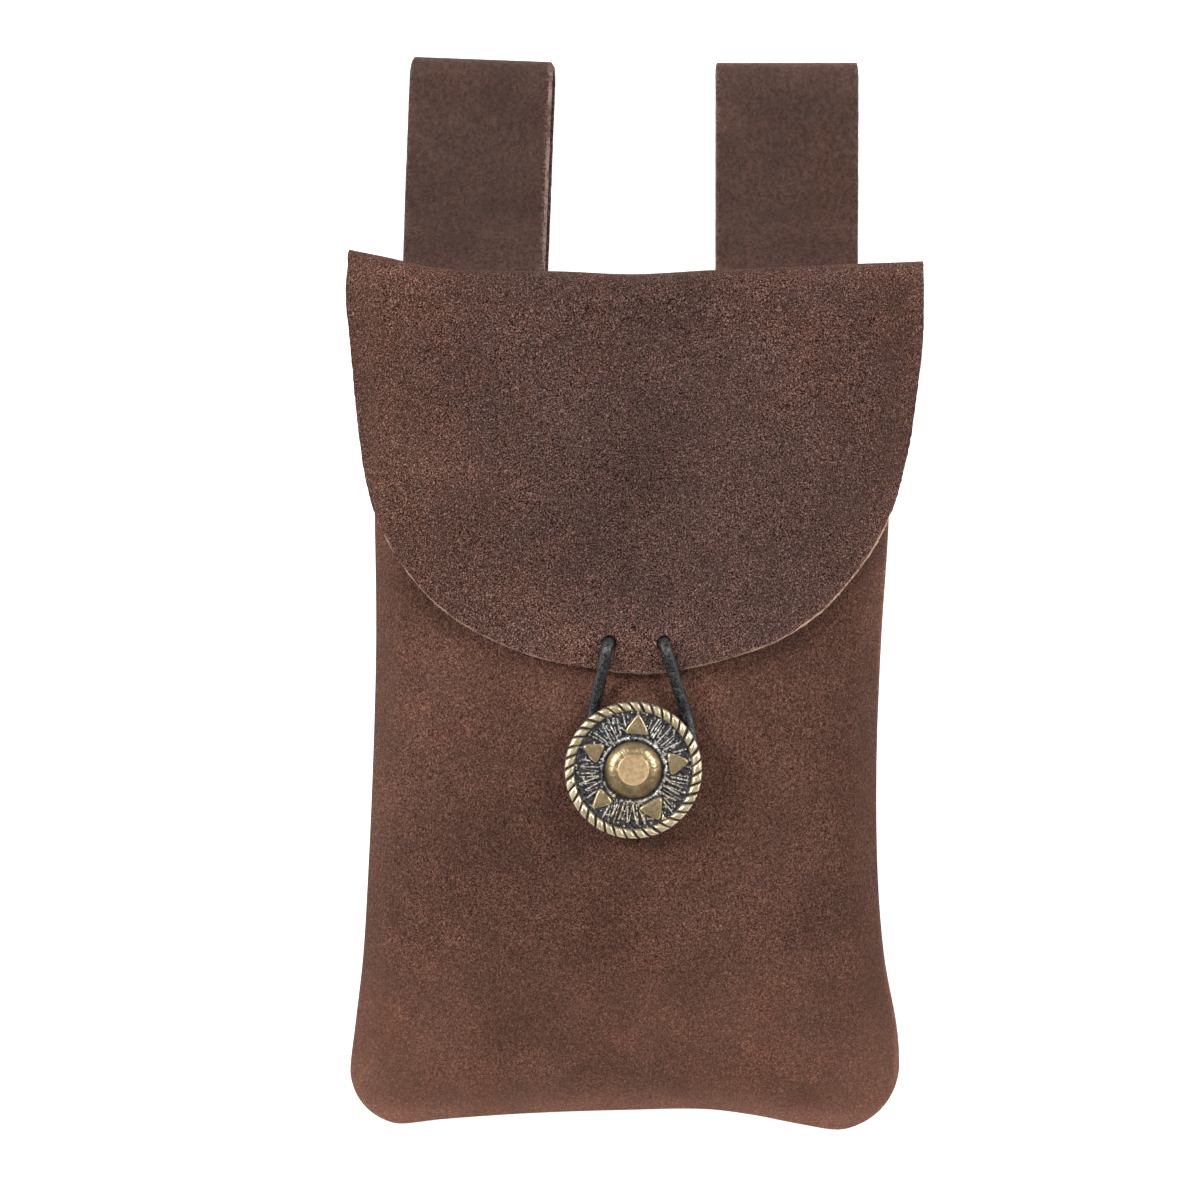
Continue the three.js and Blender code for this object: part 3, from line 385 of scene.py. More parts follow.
def leather_mesh(name, sheet, thickness, bevel, fray, seed, looks, raw=None):
    """The closed body of leather round a sheet. Its outer face stops a bevel short of the cut
    edge, so that the edge shows from outside. bevel is a length or a function of x, y and z,
    fray is how ragged the cut is, raw is a function that says how pale the cut is, and looks
    are named functions for materials."""
    p = np.vstack(sheet.points)
    bevel = bevel(*p.T) if callable(bevel) else np.full(len(p), float(bevel))
    raw = raw(*p.T) if raw else np.ones(len(p))
    faces = np.vstack(sheet.faces)
    a, b, c, d = (p[faces[:, k]] for k in range(4))
    fn = np.cross(c - a, d - b)
    n = np.zeros_like(p)
    for k in range(4):
        np.add.at(n, faces[:, k], fn)
    n /= np.maximum(np.linalg.norm(n, axis=1), 1e-12)[:, None]
    fn = fn / np.maximum(np.linalg.norm(fn, axis=1), 1e-12)[:, None]
    dots, seen = np.zeros(len(p)), np.zeros(len(p))
    for k in range(4):
        np.add.at(dots, faces[:, k], (fn * n[faces[:, k]]).sum(1))
        np.add.at(seen, faces[:, k], 1)
    half = thickness / 2 / np.maximum(dots / np.maximum(seen, 1), 0.7)
    # Edges that only one face has are the cut.
    start, end = faces.ravel(), np.roll(faces, -1, axis=1).ravel()
    key = start.astype(np.int64) * len(p) + end
    cut = ~np.isin(key, end.astype(np.int64) * len(p) + start)
    rim = np.stack([start[cut], end[cut]], 1)
    outward = np.zeros_like(p)
    tangent = p[rim[:, 1]] - p[rim[:, 0]]
    tangent /= np.maximum(np.linalg.norm(tangent, axis=1), 1e-9)[:, None]
    for k in range(2):
        np.add.at(outward, rim[:, k], np.cross(tangent, n[rim[:, k]]))
    size = np.linalg.norm(outward, axis=1)
    on_rim = size > 1e-9
    outward[on_rim] /= size[on_rim][:, None]
    # Where the sheet slopes down to an edge that shows, the cut leans outward as well.
    fall = np.clip(-outward[:, 2], 0, 0.74)
    lean = 0.45 * fall / np.sqrt(1 - fall**2) * smooth((bevel - 0.12) / 0.1)
    bevel = bevel + lean
    drawn = outward * (bevel * on_rim)[:, None]
    if bevel.max() > 0.15:
        drawn += drawn_back(p, on_rim, drawn)
    ragged = np.random.default_rng(seed).normal(0, 1, len(p)) * fray
    outer = p + n * half[:, None] - drawn - outward * (ragged * on_rim)[:, None]
    inner = p - n * half[:, None] - outward * (0.35 * ragged)[:, None] * on_rim[:, None]
    middle = p[on_rim] + outward[on_rim] * (0.12 + lean - 0.6 * ragged)[on_rim][:, None]
    middle = middle - n[on_rim] * 0.1 * thickness
    where = np.full(len(p), -1)
    where[on_rim] = np.arange(on_rim.sum()) + 2 * len(p)
    m0, m1 = where[rim[:, 0]], where[rim[:, 1]]
    walls = np.vstack([
        np.stack([rim[:, 1], rim[:, 0], m0, m1], 1),
        np.stack([m1, m0, rim[:, 0] + len(p), rim[:, 1] + len(p)], 1),
    ])
    everything = np.vstack([faces, faces[:, ::-1] + len(p), walls])
    me = new_mesh(name, np.vstack([outer, inner, middle]), everything.tolist(), 50)
    index = np.zeros(len(everything), np.int32)
    index[-len(walls):] = 1
    me.polygons.foreach_set("material_index", index)
    mark(me, "near_cut", on_rim * raw, on_rim * raw, raw[on_rim])
    for label, look in looks:
        values = look(*p.T)
        mark(me, label, values, values, values[on_rim])
    return me


def drawn_back(p, on_rim, drawn, reach=2.6):
    """What the points near a cut edge give way, so that the outer face isn't folded over where
    its edge is drawn back."""
    rim = np.where(on_rim)[0]
    tree = nearest_of(p[rim], rim)
    back = np.zeros_like(p)
    for k in np.where(~on_rim)[0]:
        _, nearest, distance = tree.find(p[k])
        if distance < reach:
            back[k] = drawn[nearest] * (1 - distance / reach)
    return back


def place(name, me, slot, *nodes):
    """An object of that mesh, riding on the part's body and standing for those nodes."""
    ob = bpy.data.objects.new(name, me)
    scene.collection.objects.link(ob)
    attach(ob, "root")
    if nodes:
        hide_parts(*nodes)


def dressed(me, *materials):
    for m in materials:
        me.materials.append(m)
    return me


# Bag

FRONT_GRID = (112, 150, 22)  # steps across, steps up, steps of those in a rounded corner
BACK_GRID = (112, 120, 18)
FINE = 40  # steps of an outline from point to point


def seam_outline(across, up):
    flank = lambda column, sign: [(sign * w * HALF_BAG, s * HALF_LENGTH) for w, s in zip(column, SIDES_UP)]

    def arc(corner):
        x, y, radius, start, end = corner
        angle = np.radians(np.linspace(start, end, 7))
        return [(x * HALF_BAG + radius * math.cos(t), y * HALF_LENGTH + radius * math.sin(t)) for t in angle]

    left, right = flank(SIDES_LEFT, -1), flank(SIDES_RIGHT, 1)[::-1]
    bottom = [(x * HALF_BAG, y * HALF_LENGTH) for x, y in BOTTOM]
    points = left + arc(CORNER_LEFT) + bottom + arc(CORNER_RIGHT) + right
    line = spline(points, FINE)
    first, second = FINE * (len(left) + 3), FINE * (len(left) + 7 + len(bottom) + 3)
    return three_edges(line, first, second, ((1 - up)[::-1], across, up))


def bag_panel(sheet, side, height, grid, relief):
    """One panel of the turned bag with its rolled seam and allowance. side is 1 for the front."""
    columns, rows, near = grid
    up = closer_at_start(rows, near, CORNER_RUN / BODY_LENGTH)
    across = closer_at_ends(columns, near, CORNER_RUN / BAG_WIDTH)
    left, bottom, right = seam_outline(across, up)
    seam = np.vstack([left, bottom[1:], right[1:]])
    before, after = np.vstack([seam[:1], seam[:-1]]), np.vstack([seam[1:], seam[-1:]])
    along = after - before
    along /= np.linalg.norm(along, axis=1)[:, None]
    out = np.stack([along[:, 1], -along[:, 0]], 1)
    inset = ROLL_OUTER - ROLL_RADIUS * math.cos(ROLL_START)
    edge = seam - out * inset
    left_edge = edge[: rows + 1][::-1]
    bottom_edge = edge[rows : rows + columns + 1]
    right_edge = edge[rows + columns :]
    mouth = lerp(edge[:1], edge[-1:], across[:, None])
    flat = patch(left_edge, right_edge, bottom_edge, mouth, across, up)
    u, v = np.meshgrid(2 * across - 1, up)
    z = height(u, v) + relief(flat[..., 0], flat[..., 1], u, v)
    solid = np.dstack([flat, z])
    index = [sheet.row(r) for r in solid]
    for low, high in zip(index[:-1], index[1:]):
        sheet.join(low, high, side < 0)
    previous = np.concatenate([[r[0] for r in index[::-1]], index[0][1:], [r[-1] for r in index[1:]]])
    centre = SEAT / 2 + LEATHER / 2 + ROLL_RADIUS
    turns = np.linspace(ROLL_START, -math.pi / 2, 10)[1:]
    profile = [(ROLL_RADIUS * math.cos(t) - ROLL_OUTER, centre + ROLL_RADIUS * math.sin(t)) for t in turns]
    profile += [(-ROLL_OUTER - 1.5, centre - ROLL_RADIUS), (-SEAM_ALLOWANCE, centre - ROLL_RADIUS)]
    for reach, rise in profile:
        ring = seam + out * reach
        z = np.full(len(ring), SEAM_HEIGHT + side * rise)
        following = sheet.row(np.column_stack([ring, z]))
        sheet.join(following, previous, side < 0)
        previous = following
    return index


def front_relief(x, y, u, v):
    """What the filled bag's front shows besides its crown: waves, the edge of the seam's
    allowance behind it, and the pull of the button."""
    from_side, from_bottom = from_seams(u, v)
    inside = smooth(from_side / 9) * smooth(from_bottom / 9)
    hidden = smooth((y - TIP_Y) / 30)
    soft = 0.34 * body_waves(x, y) * inside * (1 - 0.8 * hidden)
    print_side = bell((from_side - SEAM_ALLOWANCE) / 1.6) * smooth(from_bottom / 10)
    print_low = bell((from_bottom - SEAM_ALLOWANCE) / 1.6) * smooth(from_side / 10)
    ridge = 0.26 * (print_side + print_low) * (1 - hidden)
    pull = -0.45 * bell(np.hypot(x, y - BUTTON_Y) / 9)
    return soft + ridge + pull


def flap_outline(left_top, right_top, columns, rows):
    def flank(column, sign):
        return [(sign * w * HALF_FLAP, FOLD_Y - d * FLAP_LENGTH) for w, d in zip(column, FLAP_DOWN)]

    left, right = flank(FLAP_LEFT, -1), flank(FLAP_RIGHT, 1)[::-1]
    points = [tuple(left_top)] + left + [(FLAP_TIP, TIP_Y)] + right + [tuple(right_top)]
    line = spline(points, FINE)
    first = FINE * (FLAP_CORNER_ROW + 1)
    second = FINE * (len(points) - 2 - FLAP_CORNER_ROW)
    shares = [np.linspace(0, 1, count + 1) for count in (rows, columns, rows)]
    return three_edges(line, first, second, shares)


def flap_relief(x, y):
    free = smooth((FOLD_Y - y) / 26)
    ends = bell((x - FLAP_TIP) / 26) * bell((y - TIP_Y) / 12)
    return 0.3 * flap_waves(x, y) * free * (1 - 0.8 * ends)


def back_and_flap():
    sheet = Sheet()
    columns, _, near = BACK_GRID
    previous = bag_panel(sheet, -1, back_height, BACK_GRID, lambda x, y, u, v: 0 * x)[-1]
    mouth = np.vstack(sheet.points)[previous]
    across = closer_at_ends(columns, near, CORNER_RUN / BAG_WIDTH)
    u = lerp(2 * across - 1, np.linspace(-1, 1, columns + 1), 0.4)
    edge_y = FOLD_Y + rise_at(u) - LEATHER / 2
    low = mouth[columns // 2, 2]
    high = flap_height(u * HALF_FLAP, edge_y - ROLL_OUTER)
    radius = (high - low) / 2
    fold_x = u * HALF_FLAP * lerp(0.987, 1.005, (u + 1) / 2)
    fold_y, fold_z = edge_y - radius, (high + low) / 2
    steps = 8
    for k in range(1, steps + 1):
        share = k / steps
        x = lerp(mouth[:, 0], fold_x, smooth(share))
        y, z = lerp(mouth[:, 1], fold_y, share), lerp(mouth[:, 2], fold_z - radius, share)
        previous = sheet.grow(previous, np.column_stack([x, y, z]))
    steps = 18
    for k in range(1, steps + 1):
        angle = math.pi * (k / steps - 0.5)
        y, z = fold_y + radius * math.cos(angle), fold_z + radius * math.sin(angle)
        previous = sheet.grow(previous, np.column_stack([fold_x, y, z]))
    rows, rim_left, rim_right = 88, [], []
    top = np.column_stack([fold_x, fold_y])
    left, tip, right = flap_outline(top[0], top[-1], columns, rows)
    even = np.linspace(0, 1, rows + 1)
    grid = patch(left[::-1], right, tip, top, np.linspace(0, 1, columns + 1), even)[::-1]
    for row in grid[1:]:
        x, y = row[:, 0], row[:, 1]
        solid = np.column_stack([x, y, flap_height(x, y) + flap_relief(x, y)])
        rim_left.append(solid[0])
        rim_right.append(solid[-1])
        previous = sheet.grow(previous, solid)
    return sheet, np.vstack([rim_left, solid[1:-1], rim_right[::-1]])


def edge_fibres(name, rim, count, seed):
    """Loose fibres that stand out of the cut edge of the flap, thin and bent."""
    r = np.random.default_rng(seed)
    sides, steps, thick = 3, 4, 0.035
    share = np.sort(r.uniform(0, 1, count))
    line = respaced(rim, share)
    ahead = respaced(rim, np.minimum(share + 0.004, 1)) - respaced(rim, np.maximum(share - 0.004, 0))
    points, faces = [], []
    for p, d in zip(line, ahead):
        d = unit(d)
        out = unit(np.array((d[1], -d[0], 0.0)))
        turn = r.normal(0, 0.7)
        way = out * math.cos(turn) + d * math.sin(turn) + np.array((0, 0, r.uniform(-0.5, 0.25)))
        bend = d * r.normal(0, 0.5) + np.array((0, 0, r.uniform(-0.6, 0.2)))
        long = 0.35 + 0.95 * r.uniform(0, 1) ** 2
        base = p - out * 0.25 + np.array((0, 0, r.uniform(-0.45, 0.45)))
        across = unit(np.cross(way, (0, 0, 1)))
        faces += tube_faces(len(points), steps + 1, sides)
        for k in range(steps + 1):
            t = k / steps
            centre = base + way * (long * t + 0.25) * min(1, 4 * t + 0.2) + bend * long * t * t
            for q in range(sides):
                a = 2 * math.pi * q / sides
                size = thick * (1 - 0.75 * t)
                points.append(centre + size * (across * math.cos(a) + np.array((0, 0, 1)) * math.sin(a)))
    me = new_mesh(name, points, faces, 60)
    mark(me, "near_cut", np.ones(len(points)))
    return me


def cut_hole(me, x, y, radius):
    """Punches a round hole through the flap."""
    z = float(flap_height(x, y))
    sides = 40
    angle = np.linspace(0, 2 * math.pi, sides, endpoint=False)
    ring = np.column_stack([x + radius * np.cos(angle), y + radius * 1.06 * np.sin(angle)])
    points = np.vstack([np.column_stack([ring, np.full(sides, h)]) for h in (z - 2.5, z + 2.5)])
    tool = bpy.data.meshes.new("punch")
    tool.from_pydata((points * MM).tolist(), [], tube_faces(0, 2, sides))
    dressed(tool, None, None)
    tool.polygons.foreach_set("material_index", np.ones(len(tool.polygons), np.int32))
    cutter = bpy.data.objects.new("punch", tool)
    holder = bpy.data.objects.new("holder", me)
    for ob in (cutter, holder):
        scene.collection.objects.link(ob)
    change = holder.modifiers.new("punch", "BOOLEAN")
    change.operation, change.solver, change.object = "DIFFERENCE", "EXACT", cutter
    change.material_mode = "INDEX"
    bpy.context.view_layer.update()
    cut = holder.evaluated_get(bpy.context.evaluated_depsgraph_get())
    result = bpy.data.meshes.new_from_object(cut)
    for ob in (cutter, holder):
        bpy.data.objects.remove(ob)
    bpy.data.meshes.remove(tool)
    return result


# Belt loops

def strap_line(reach):
    """The strap from its end behind the bag over its top and down again: y, height and how far
    it is behind."""
    low = STRAP / 2
    radius = (LOOP_OPENING + STRAP) / 2
    top_y = FOLD_Y + reach - STRAP / 2 - radius
    high = low + 2 * radius
    pressed = low + STRAP + SEAT
    leave_y = FOLD_Y - 1.5
    line = [(y, low, 1.0) for y in np.linspace(LOOP_END_Y, top_y, 46)]
    for t in np.linspace(0, math.pi, 19)[1:-1]:
        behind = 1 - float(smooth(t / math.pi))
        line.append((top_y + radius * math.sin(t), low + radius * (1 - math.cos(t)), behind))
    for y in np.linspace(top_y, leave_y, 34):
        line.append((y, lerp(pressed, high, float(smooth((y - leave_y) / LOOP_RISE))), 0.0))
    return line + [(y, pressed, 0.0) for y in np.linspace(leave_y, LOOP_END_Y, 14)[1:]]


def belt_loop(name, side, inset, reach, turn, skew, worn_corner, open_edge, seed):
    """A strap. worn_corner is how round its outer top corner is, open_edge how wide its inner
    cut edge shows from the front."""
    sheet = Sheet()
    across = side * (HALF_FLAP - inset - LOOP_WIDTH / 2)
    tilt = math.radians(turn)
    share = np.linspace(-0.5, 0.5, 31)
    round_y = FOLD_Y + reach - worn_corner
    previous = None
    for y, z, behind in strap_line(reach):
        into = min(max((y - round_y) / worn_corner, 0), 1)
        worn = worn_corner * (1 - math.sqrt(1 - into * into))
        half = LOOP_WIDTH / 2 - np.where(np.sign(share) == side, worn, 0)
        px, py = rotated(2 * share * half + skew * behind, y - FOLD_Y, tilt)
        px, py = px + across, py + FOLD_Y
        free = 0.0 if behind > 0.999 else float(smooth((y - FOLD_Y - 6) / 20))
        pz = z + 0.16 * free * (1 - behind) * loop_waves(px + 40 * seed, py)
        previous = sheet.grow(previous, np.column_stack([px, py, pz]))
    inner = lambda x: (x - across) * side < 0
    bevel = lambda x, y, z: np.where(inner(x), open_edge, 0.1)
    raw = lambda x, y, z: np.where(inner(x), 0.9 if open_edge > 0.3 else 0.35, 0.3)
    looks = (
        ("tone_and_painted_light", lambda x, y, z: strap_tone(x, y, z, side, reach)),
        ("worn", lambda x, y, z: 0 * x),
        ("warm", lambda x, y, z: strap_warm(x, y, side)),
    )
    return leather_mesh(name, sheet, STRAP, bevel, fray=0.03, seed=seed, looks=looks, raw=raw)


# Cord

def cord_path():
    """The closed loop of the cord: behind the flap from hole to hole, out of both, and round the
    button's post."""
    lift = CORD / 2 + 0.12
    on_flap = lambda x, y: float(flap_height(x, y)) + LEATHER / 2 + lift
    on_front = lambda x, y: float(front_top(x, y)) + lift
    behind = lambda x: float(flap_height(x, HOLE_Y)) - LEATHER / 2 - lift
    bend = (0, math.pi / 6, math.pi / 3)

    def strand(hole, wide):
        """Out of the hole from behind, over the flap's edge and in under the button's rim."""
        side = math.copysign(1, wide - hole)
        rim_x, rim_y = lerp(hole, wide, 0.72), BUTTON_Y + BUTTON_RADIUS * 0.82
        size = math.hypot(rim_x - hole, rim_y - HOLE_Y)
        tx, ty = (rim_x - hole) / size, (rim_y - HOLE_Y) / size
        front_z = on_flap(hole + tx * CORD_BEND, HOLE_Y + ty * CORD_BEND)
        inside, outside = [], []
        for t in bend:
            away, rise = CORD_BEND * (1 - math.sin(t)), CORD_BEND * (1 - math.cos(t))
            inside.append((hole - side * away, HOLE_Y, behind(hole) + rise))
            outside.append((hole + tx * away, HOLE_Y + ty * away, front_z - rise))
        edge_x, edge_y = hole + tx * (HOLE_UP + 0.4), HOLE_Y + ty * (HOLE_UP + 0.4)
        free_x, free_y = lerp(hole, rim_x, 0.78), lerp(HOLE_Y, rim_y, 0.78)
        low = lerp(rim_y, BUTTON_Y, 0.55)
        return inside + [(hole, HOLE_Y, float(flap_height(hole, HOLE_Y)))] + outside[::-1] + [
            (edge_x, edge_y, on_flap(edge_x, max(edge_y, TIP_Y + 1)) - 0.2),
            (free_x, free_y, lerp(on_front(free_x, free_y), on_flap(free_x, TIP_Y + 1), 0.4)),
            (rim_x, rim_y, on_front(rim_x, rim_y)),
            (lerp(rim_x, wide, 0.75), low, on_front(rim_x, low)),
        ]

    left, right = strand(HOLE_LEFT, CORD_LEFT), strand(HOLE_RIGHT, CORD_RIGHT)
    middle, half = (CORD_LEFT + CORD_RIGHT) / 2, (CORD_RIGHT - CORD_LEFT) / 2
    around = []
    for angle in np.radians((180, 205, 235, 270, 305, 335, 360)):
        x, y = middle + half * math.cos(angle), BUTTON_Y + CORD_BELOW * math.sin(angle)
        around.append((x, y, on_front(x, y)))
    between = (HOLE_LEFT + HOLE_RIGHT) / 2
    return [(between, HOLE_Y, behind(between))] + left + around + right[::-1]


def cord_mesh(name, radius):
    line = spline(cord_path(), 16, closed=True)
    line = respaced(np.vstack([line, line[:1]]), np.linspace(0, 1, 421))[:-1]
    count, sides = len(line), 20
    tangent = np.roll(line, -1, axis=0) - np.roll(line, 1, axis=0)
    tangent /= np.linalg.norm(tangent, axis=1)[:, None]
    normal = np.zeros_like(line)
    normal[0] = unit(np.cross(tangent[0], (0, 0, 1)))
    for k in range(1, count):
        normal[k] = unit(normal[k - 1] - tangent[k] * (normal[k - 1] @ tangent[k]))
    # The last section is turned back onto the first, a little at every step.
    binormal = np.cross(tangent, normal)
    v = normal[-1] - tangent[0] * (normal[-1] @ tangent[0])
    twist = math.atan2(v @ binormal[0], v @ normal[0])
    turn = -twist * np.arange(count) / count
    along = np.arange(count) / count * 2 * math.pi
    angle = np.linspace(0, 2 * math.pi, sides, endpoint=False)
    a = (angle[None] + turn[:, None])[..., None]
    angle, along = angle[None], along[:, None]
    uneven = 0.035 * np.sin(3 * angle + 5 * along + 1) + 0.02 * np.sin(23 * along + 2 * angle)
    r = (radius * (1 + uneven))[..., None]
    points = line[:, None] + r * (np.cos(a) * normal[:, None] + np.sin(a) * binormal[:, None])
    i, j = np.meshgrid(np.arange(count), np.arange(sides), indexing="ij")
    i2, j2 = (i + 1) % count, (j + 1) % sides
    faces = np.stack([i * sides + j, i * sides + j2, i2 * sides + j2, i2 * sides + j], -1).reshape(-1, 4)
    return new_mesh(name, points.reshape(-1, 3), faces[:, ::-1].tolist(), 60)


# Button

ROPE_WIDTH, ROPE_STRANDS, ROPE_LEAN = 2.2, 38, 6.2
PLATE, ROPE_TOP, POST_RADIUS, POST_BORE = 1.2, 1.15, 2.7, 1.7
DOME_RADIUS, DOME_HEIGHT, DISC_RADIUS, DISC_HEIGHT = 6.2, 2.3, 3.5, 0.3
RAY_POINT, RAY_FOOT, RAY_HEIGHT = 12.5, 8.0, 0.62
DITCH_RADIUS, INNER_RING, OUTER_RING, RIB_MIDDLE = 6.6, 7.0, 12.45, 9.5
RAYS = [(84.6, 2.75), (154.4, 2.35), (223.1, 2.25), (297.5, 2.9), (9.4, 2.6)]


def button_face(r, angle):
    """Height of the cast face over the plate, and its marks: how bare the metal is, how pale
    what stands up in the dark field is, the disc on the dome, dull brass with painted shade
    towards the lower side of the dome's flank, and rubbed brass."""
    deg = math.pi / 180
    turned = angle + ROPE_LEAN * deg * (BUTTON_RADIUS - r) / ROPE_WIDTH
    middle = BUTTON_RADIUS - ROPE_WIDTH / 2
    out = np.clip((r - middle) / (ROPE_WIDTH / 2), -1, 1)
    phase = (turned * ROPE_STRANDS / (2 * math.pi)) % 1.0
    aside = np.abs(2 * phase - 1)
    uneven = 0.05 * np.sin(7 * angle + 1.3) + 0.04 * np.sin(17 * angle)
    swell = 1 - smooth((aside - 0.5 - uneven) / 0.42)
    ring = np.sqrt(np.clip(1 - np.abs(out) ** 3, 0, 1))
    rope = ROPE_TOP * ring * lerp(0.2, 0.93, swell) + 0.07 * (1 - aside**2) * ring
    in_rope = np.abs((r - middle) / (ROPE_WIDTH / 2)) < 1
    height = np.where(in_rope, rope, 0.0)
    bare = np.where(in_rope, smooth((0.8 + uneven - aside) / 0.12) * smooth((ring - 0.2) / 0.3), 0.0)
    # Rays: triangles with softened corners and bevelled sides
    x, y = r * np.cos(angle), r * np.sin(angle)
    depth = np.full(r.shape, -9.0)
    for turn, half in RAYS:
        c, s = math.cos(turn * deg), math.sin(turn * deg)
        along, aside = x * c + y * s, -x * s + y * c
        slope = half / (RAY_POINT - RAY_FOOT)
        norm = math.hypot(1, slope)
        d1 = (slope * (RAY_POINT - along) - aside) / norm
        d2 = (slope * (RAY_POINT - along) + aside) / norm
        d3 = along - RAY_FOOT + 0.08 * (aside / half) ** 2
        soft = -np.log(sum(np.exp(-2 * d) for d in (d1, d2, d3))) / 2
        depth = np.maximum(depth, soft + 0.2)
    ray = RAY_HEIGHT * smooth((depth + 0.14) / 0.4) + 0.06 * smooth((depth - 0.1) / 0.8)
    in_ray = smooth((depth + 0.02) / 0.14)
    dull_and_shade = np.where(in_ray > 0.5, 0.6 * smooth((depth - 0.16) / 0.2), 0.0)
    rubbed_and_highlight = np.where(in_ray > 0.5, 1 - smooth((depth - 0.1) / 0.16), np.where(in_rope, 1.0, 0.0))
    # Ribs between the rays, uneven as cast
    r_rib = np.random.default_rng(5)
    ribs = np.zeros(r.shape)
    order = sorted(RAYS)
    for k, (turn, half) in enumerate(order):
        following = order[k + 1][0] if k + 1 < len(order) else order[0][0] + 360
        start, end = turn + math.degrees(half / 9.4) * 0.8, following - math.degrees(half / 9.4) * 0.8
        count = round((end - start) / 4.3)
        for m in range(count):
            strong = m % 2 == 0
            place_at = (start + (end - start) * (m + 0.5) / count + r_rib.normal(0, 0.6)) * deg
            lean = r_rib.normal(0, 0.11)
            width = r_rib.uniform(0.22, 0.29) if strong else r_rib.uniform(0.13, 0.2)
            tall = r_rib.uniform(0.42, 0.6) if strong else r_rib.uniform(0.2, 0.36)
            near, far = r_rib.uniform(7.0, 8.1), r_rib.uniform(11.4, 12.7)
            bent = angle - place_at - lean * (r - RIB_MIDDLE) / RIB_MIDDLE
            aside = ((bent + math.pi) % (2 * math.pi) - math.pi) * r
            span = smooth((r - near) / 0.35) * smooth((far - r) / 0.35)
            broken = 1 - 0.5 * smooth(np.sin(r * r_rib.uniform(2.2, 4.5) + r_rib.uniform(0, 6)) * 2 - 0.7)
            ribs = np.maximum(ribs, tall * np.clip(1 - (aside / width) ** 2, 0, 1) ** 0.7 * span * broken)
    ribs *= 1 - smooth((depth + 0.35) / 0.25)
    grain = 0.2 * mottle(x, y, 0.42, 8) + 0.09 * mottle(x, y, 0.22, 9)
    field = (r > 6.5) & ~in_rope
    inner_ring = 0.32 * bell((r - INNER_RING) / 0.42) * (0.7 + 0.3 * mottle(x, y, 0.9, 10))
    outer_ring = 0.2 * bell((r - OUTER_RING) / 0.3) * (0.4 + 0.6 * mottle(x, y, 0.7, 12))
    low = np.maximum(ribs, np.maximum(inner_ring, outer_ring))
    height = np.where(field, np.maximum(low, ray) + grain * (1 - in_ray), height)
    risen = np.clip((low - 0.14) / 0.16 + np.maximum(0, grain - 0.06) / 0.08, 0, 1)
    golden = smooth(0.15 - y / 20 + 0.5 * mottle(x, y, 1.3, 15))
    bare = np.where(field, np.maximum(in_ray, 0.75 * golden * risen), bare)
    pale = np.where(field, risen * (1 - in_ray), 0.0)
    # Dome and disc
    share = np.clip((r - DISC_RADIUS) / (DOME_RADIUS - DISC_RADIUS), 0, 1)
    dome = DOME_HEIGHT * np.power(np.clip(1 - share**2.3, 0, 1), 0.62)
    disc = DISC_HEIGHT * smooth((DISC_RADIUS - r) / 0.16)
    lip = 0.05 * bell((r - DISC_RADIUS + 0.3) / 0.16)
    on_dome = r <= DOME_RADIUS
    height = np.where(on_dome, dome + disc + lip, height)
    bare = np.where(on_dome, smooth((height - 0.3) / 0.5), bare)
    # Painted shade: the dome's flank is darker towards its lower side, besides random mottling.
    shaded = 0.5 + 0.3 * smooth(0.4 - y / DOME_RADIUS) + 0.25 * mottle(x, y, 1.1, 14)
    round_disc = on_dome & (r > DISC_RADIUS)
    height = height + np.where(round_disc, 0.035 * mottle(x, y, 0.4, 18), 0.0)
    dull_and_shade = np.where(round_disc, np.clip(shaded, 0, 1), dull_and_shade)
    height = np.where((r > DOME_RADIUS) & (r < DITCH_RADIUS), -0.12, height)
    disc = np.where(r < DISC_RADIUS - 0.05, 1.0, 0.0)
    return height, {"bare": bare, "pale": pale, "disc": disc, "dull_and_shade": dull_and_shade, "rubbed_and_highlight": rubbed_and_highlight}


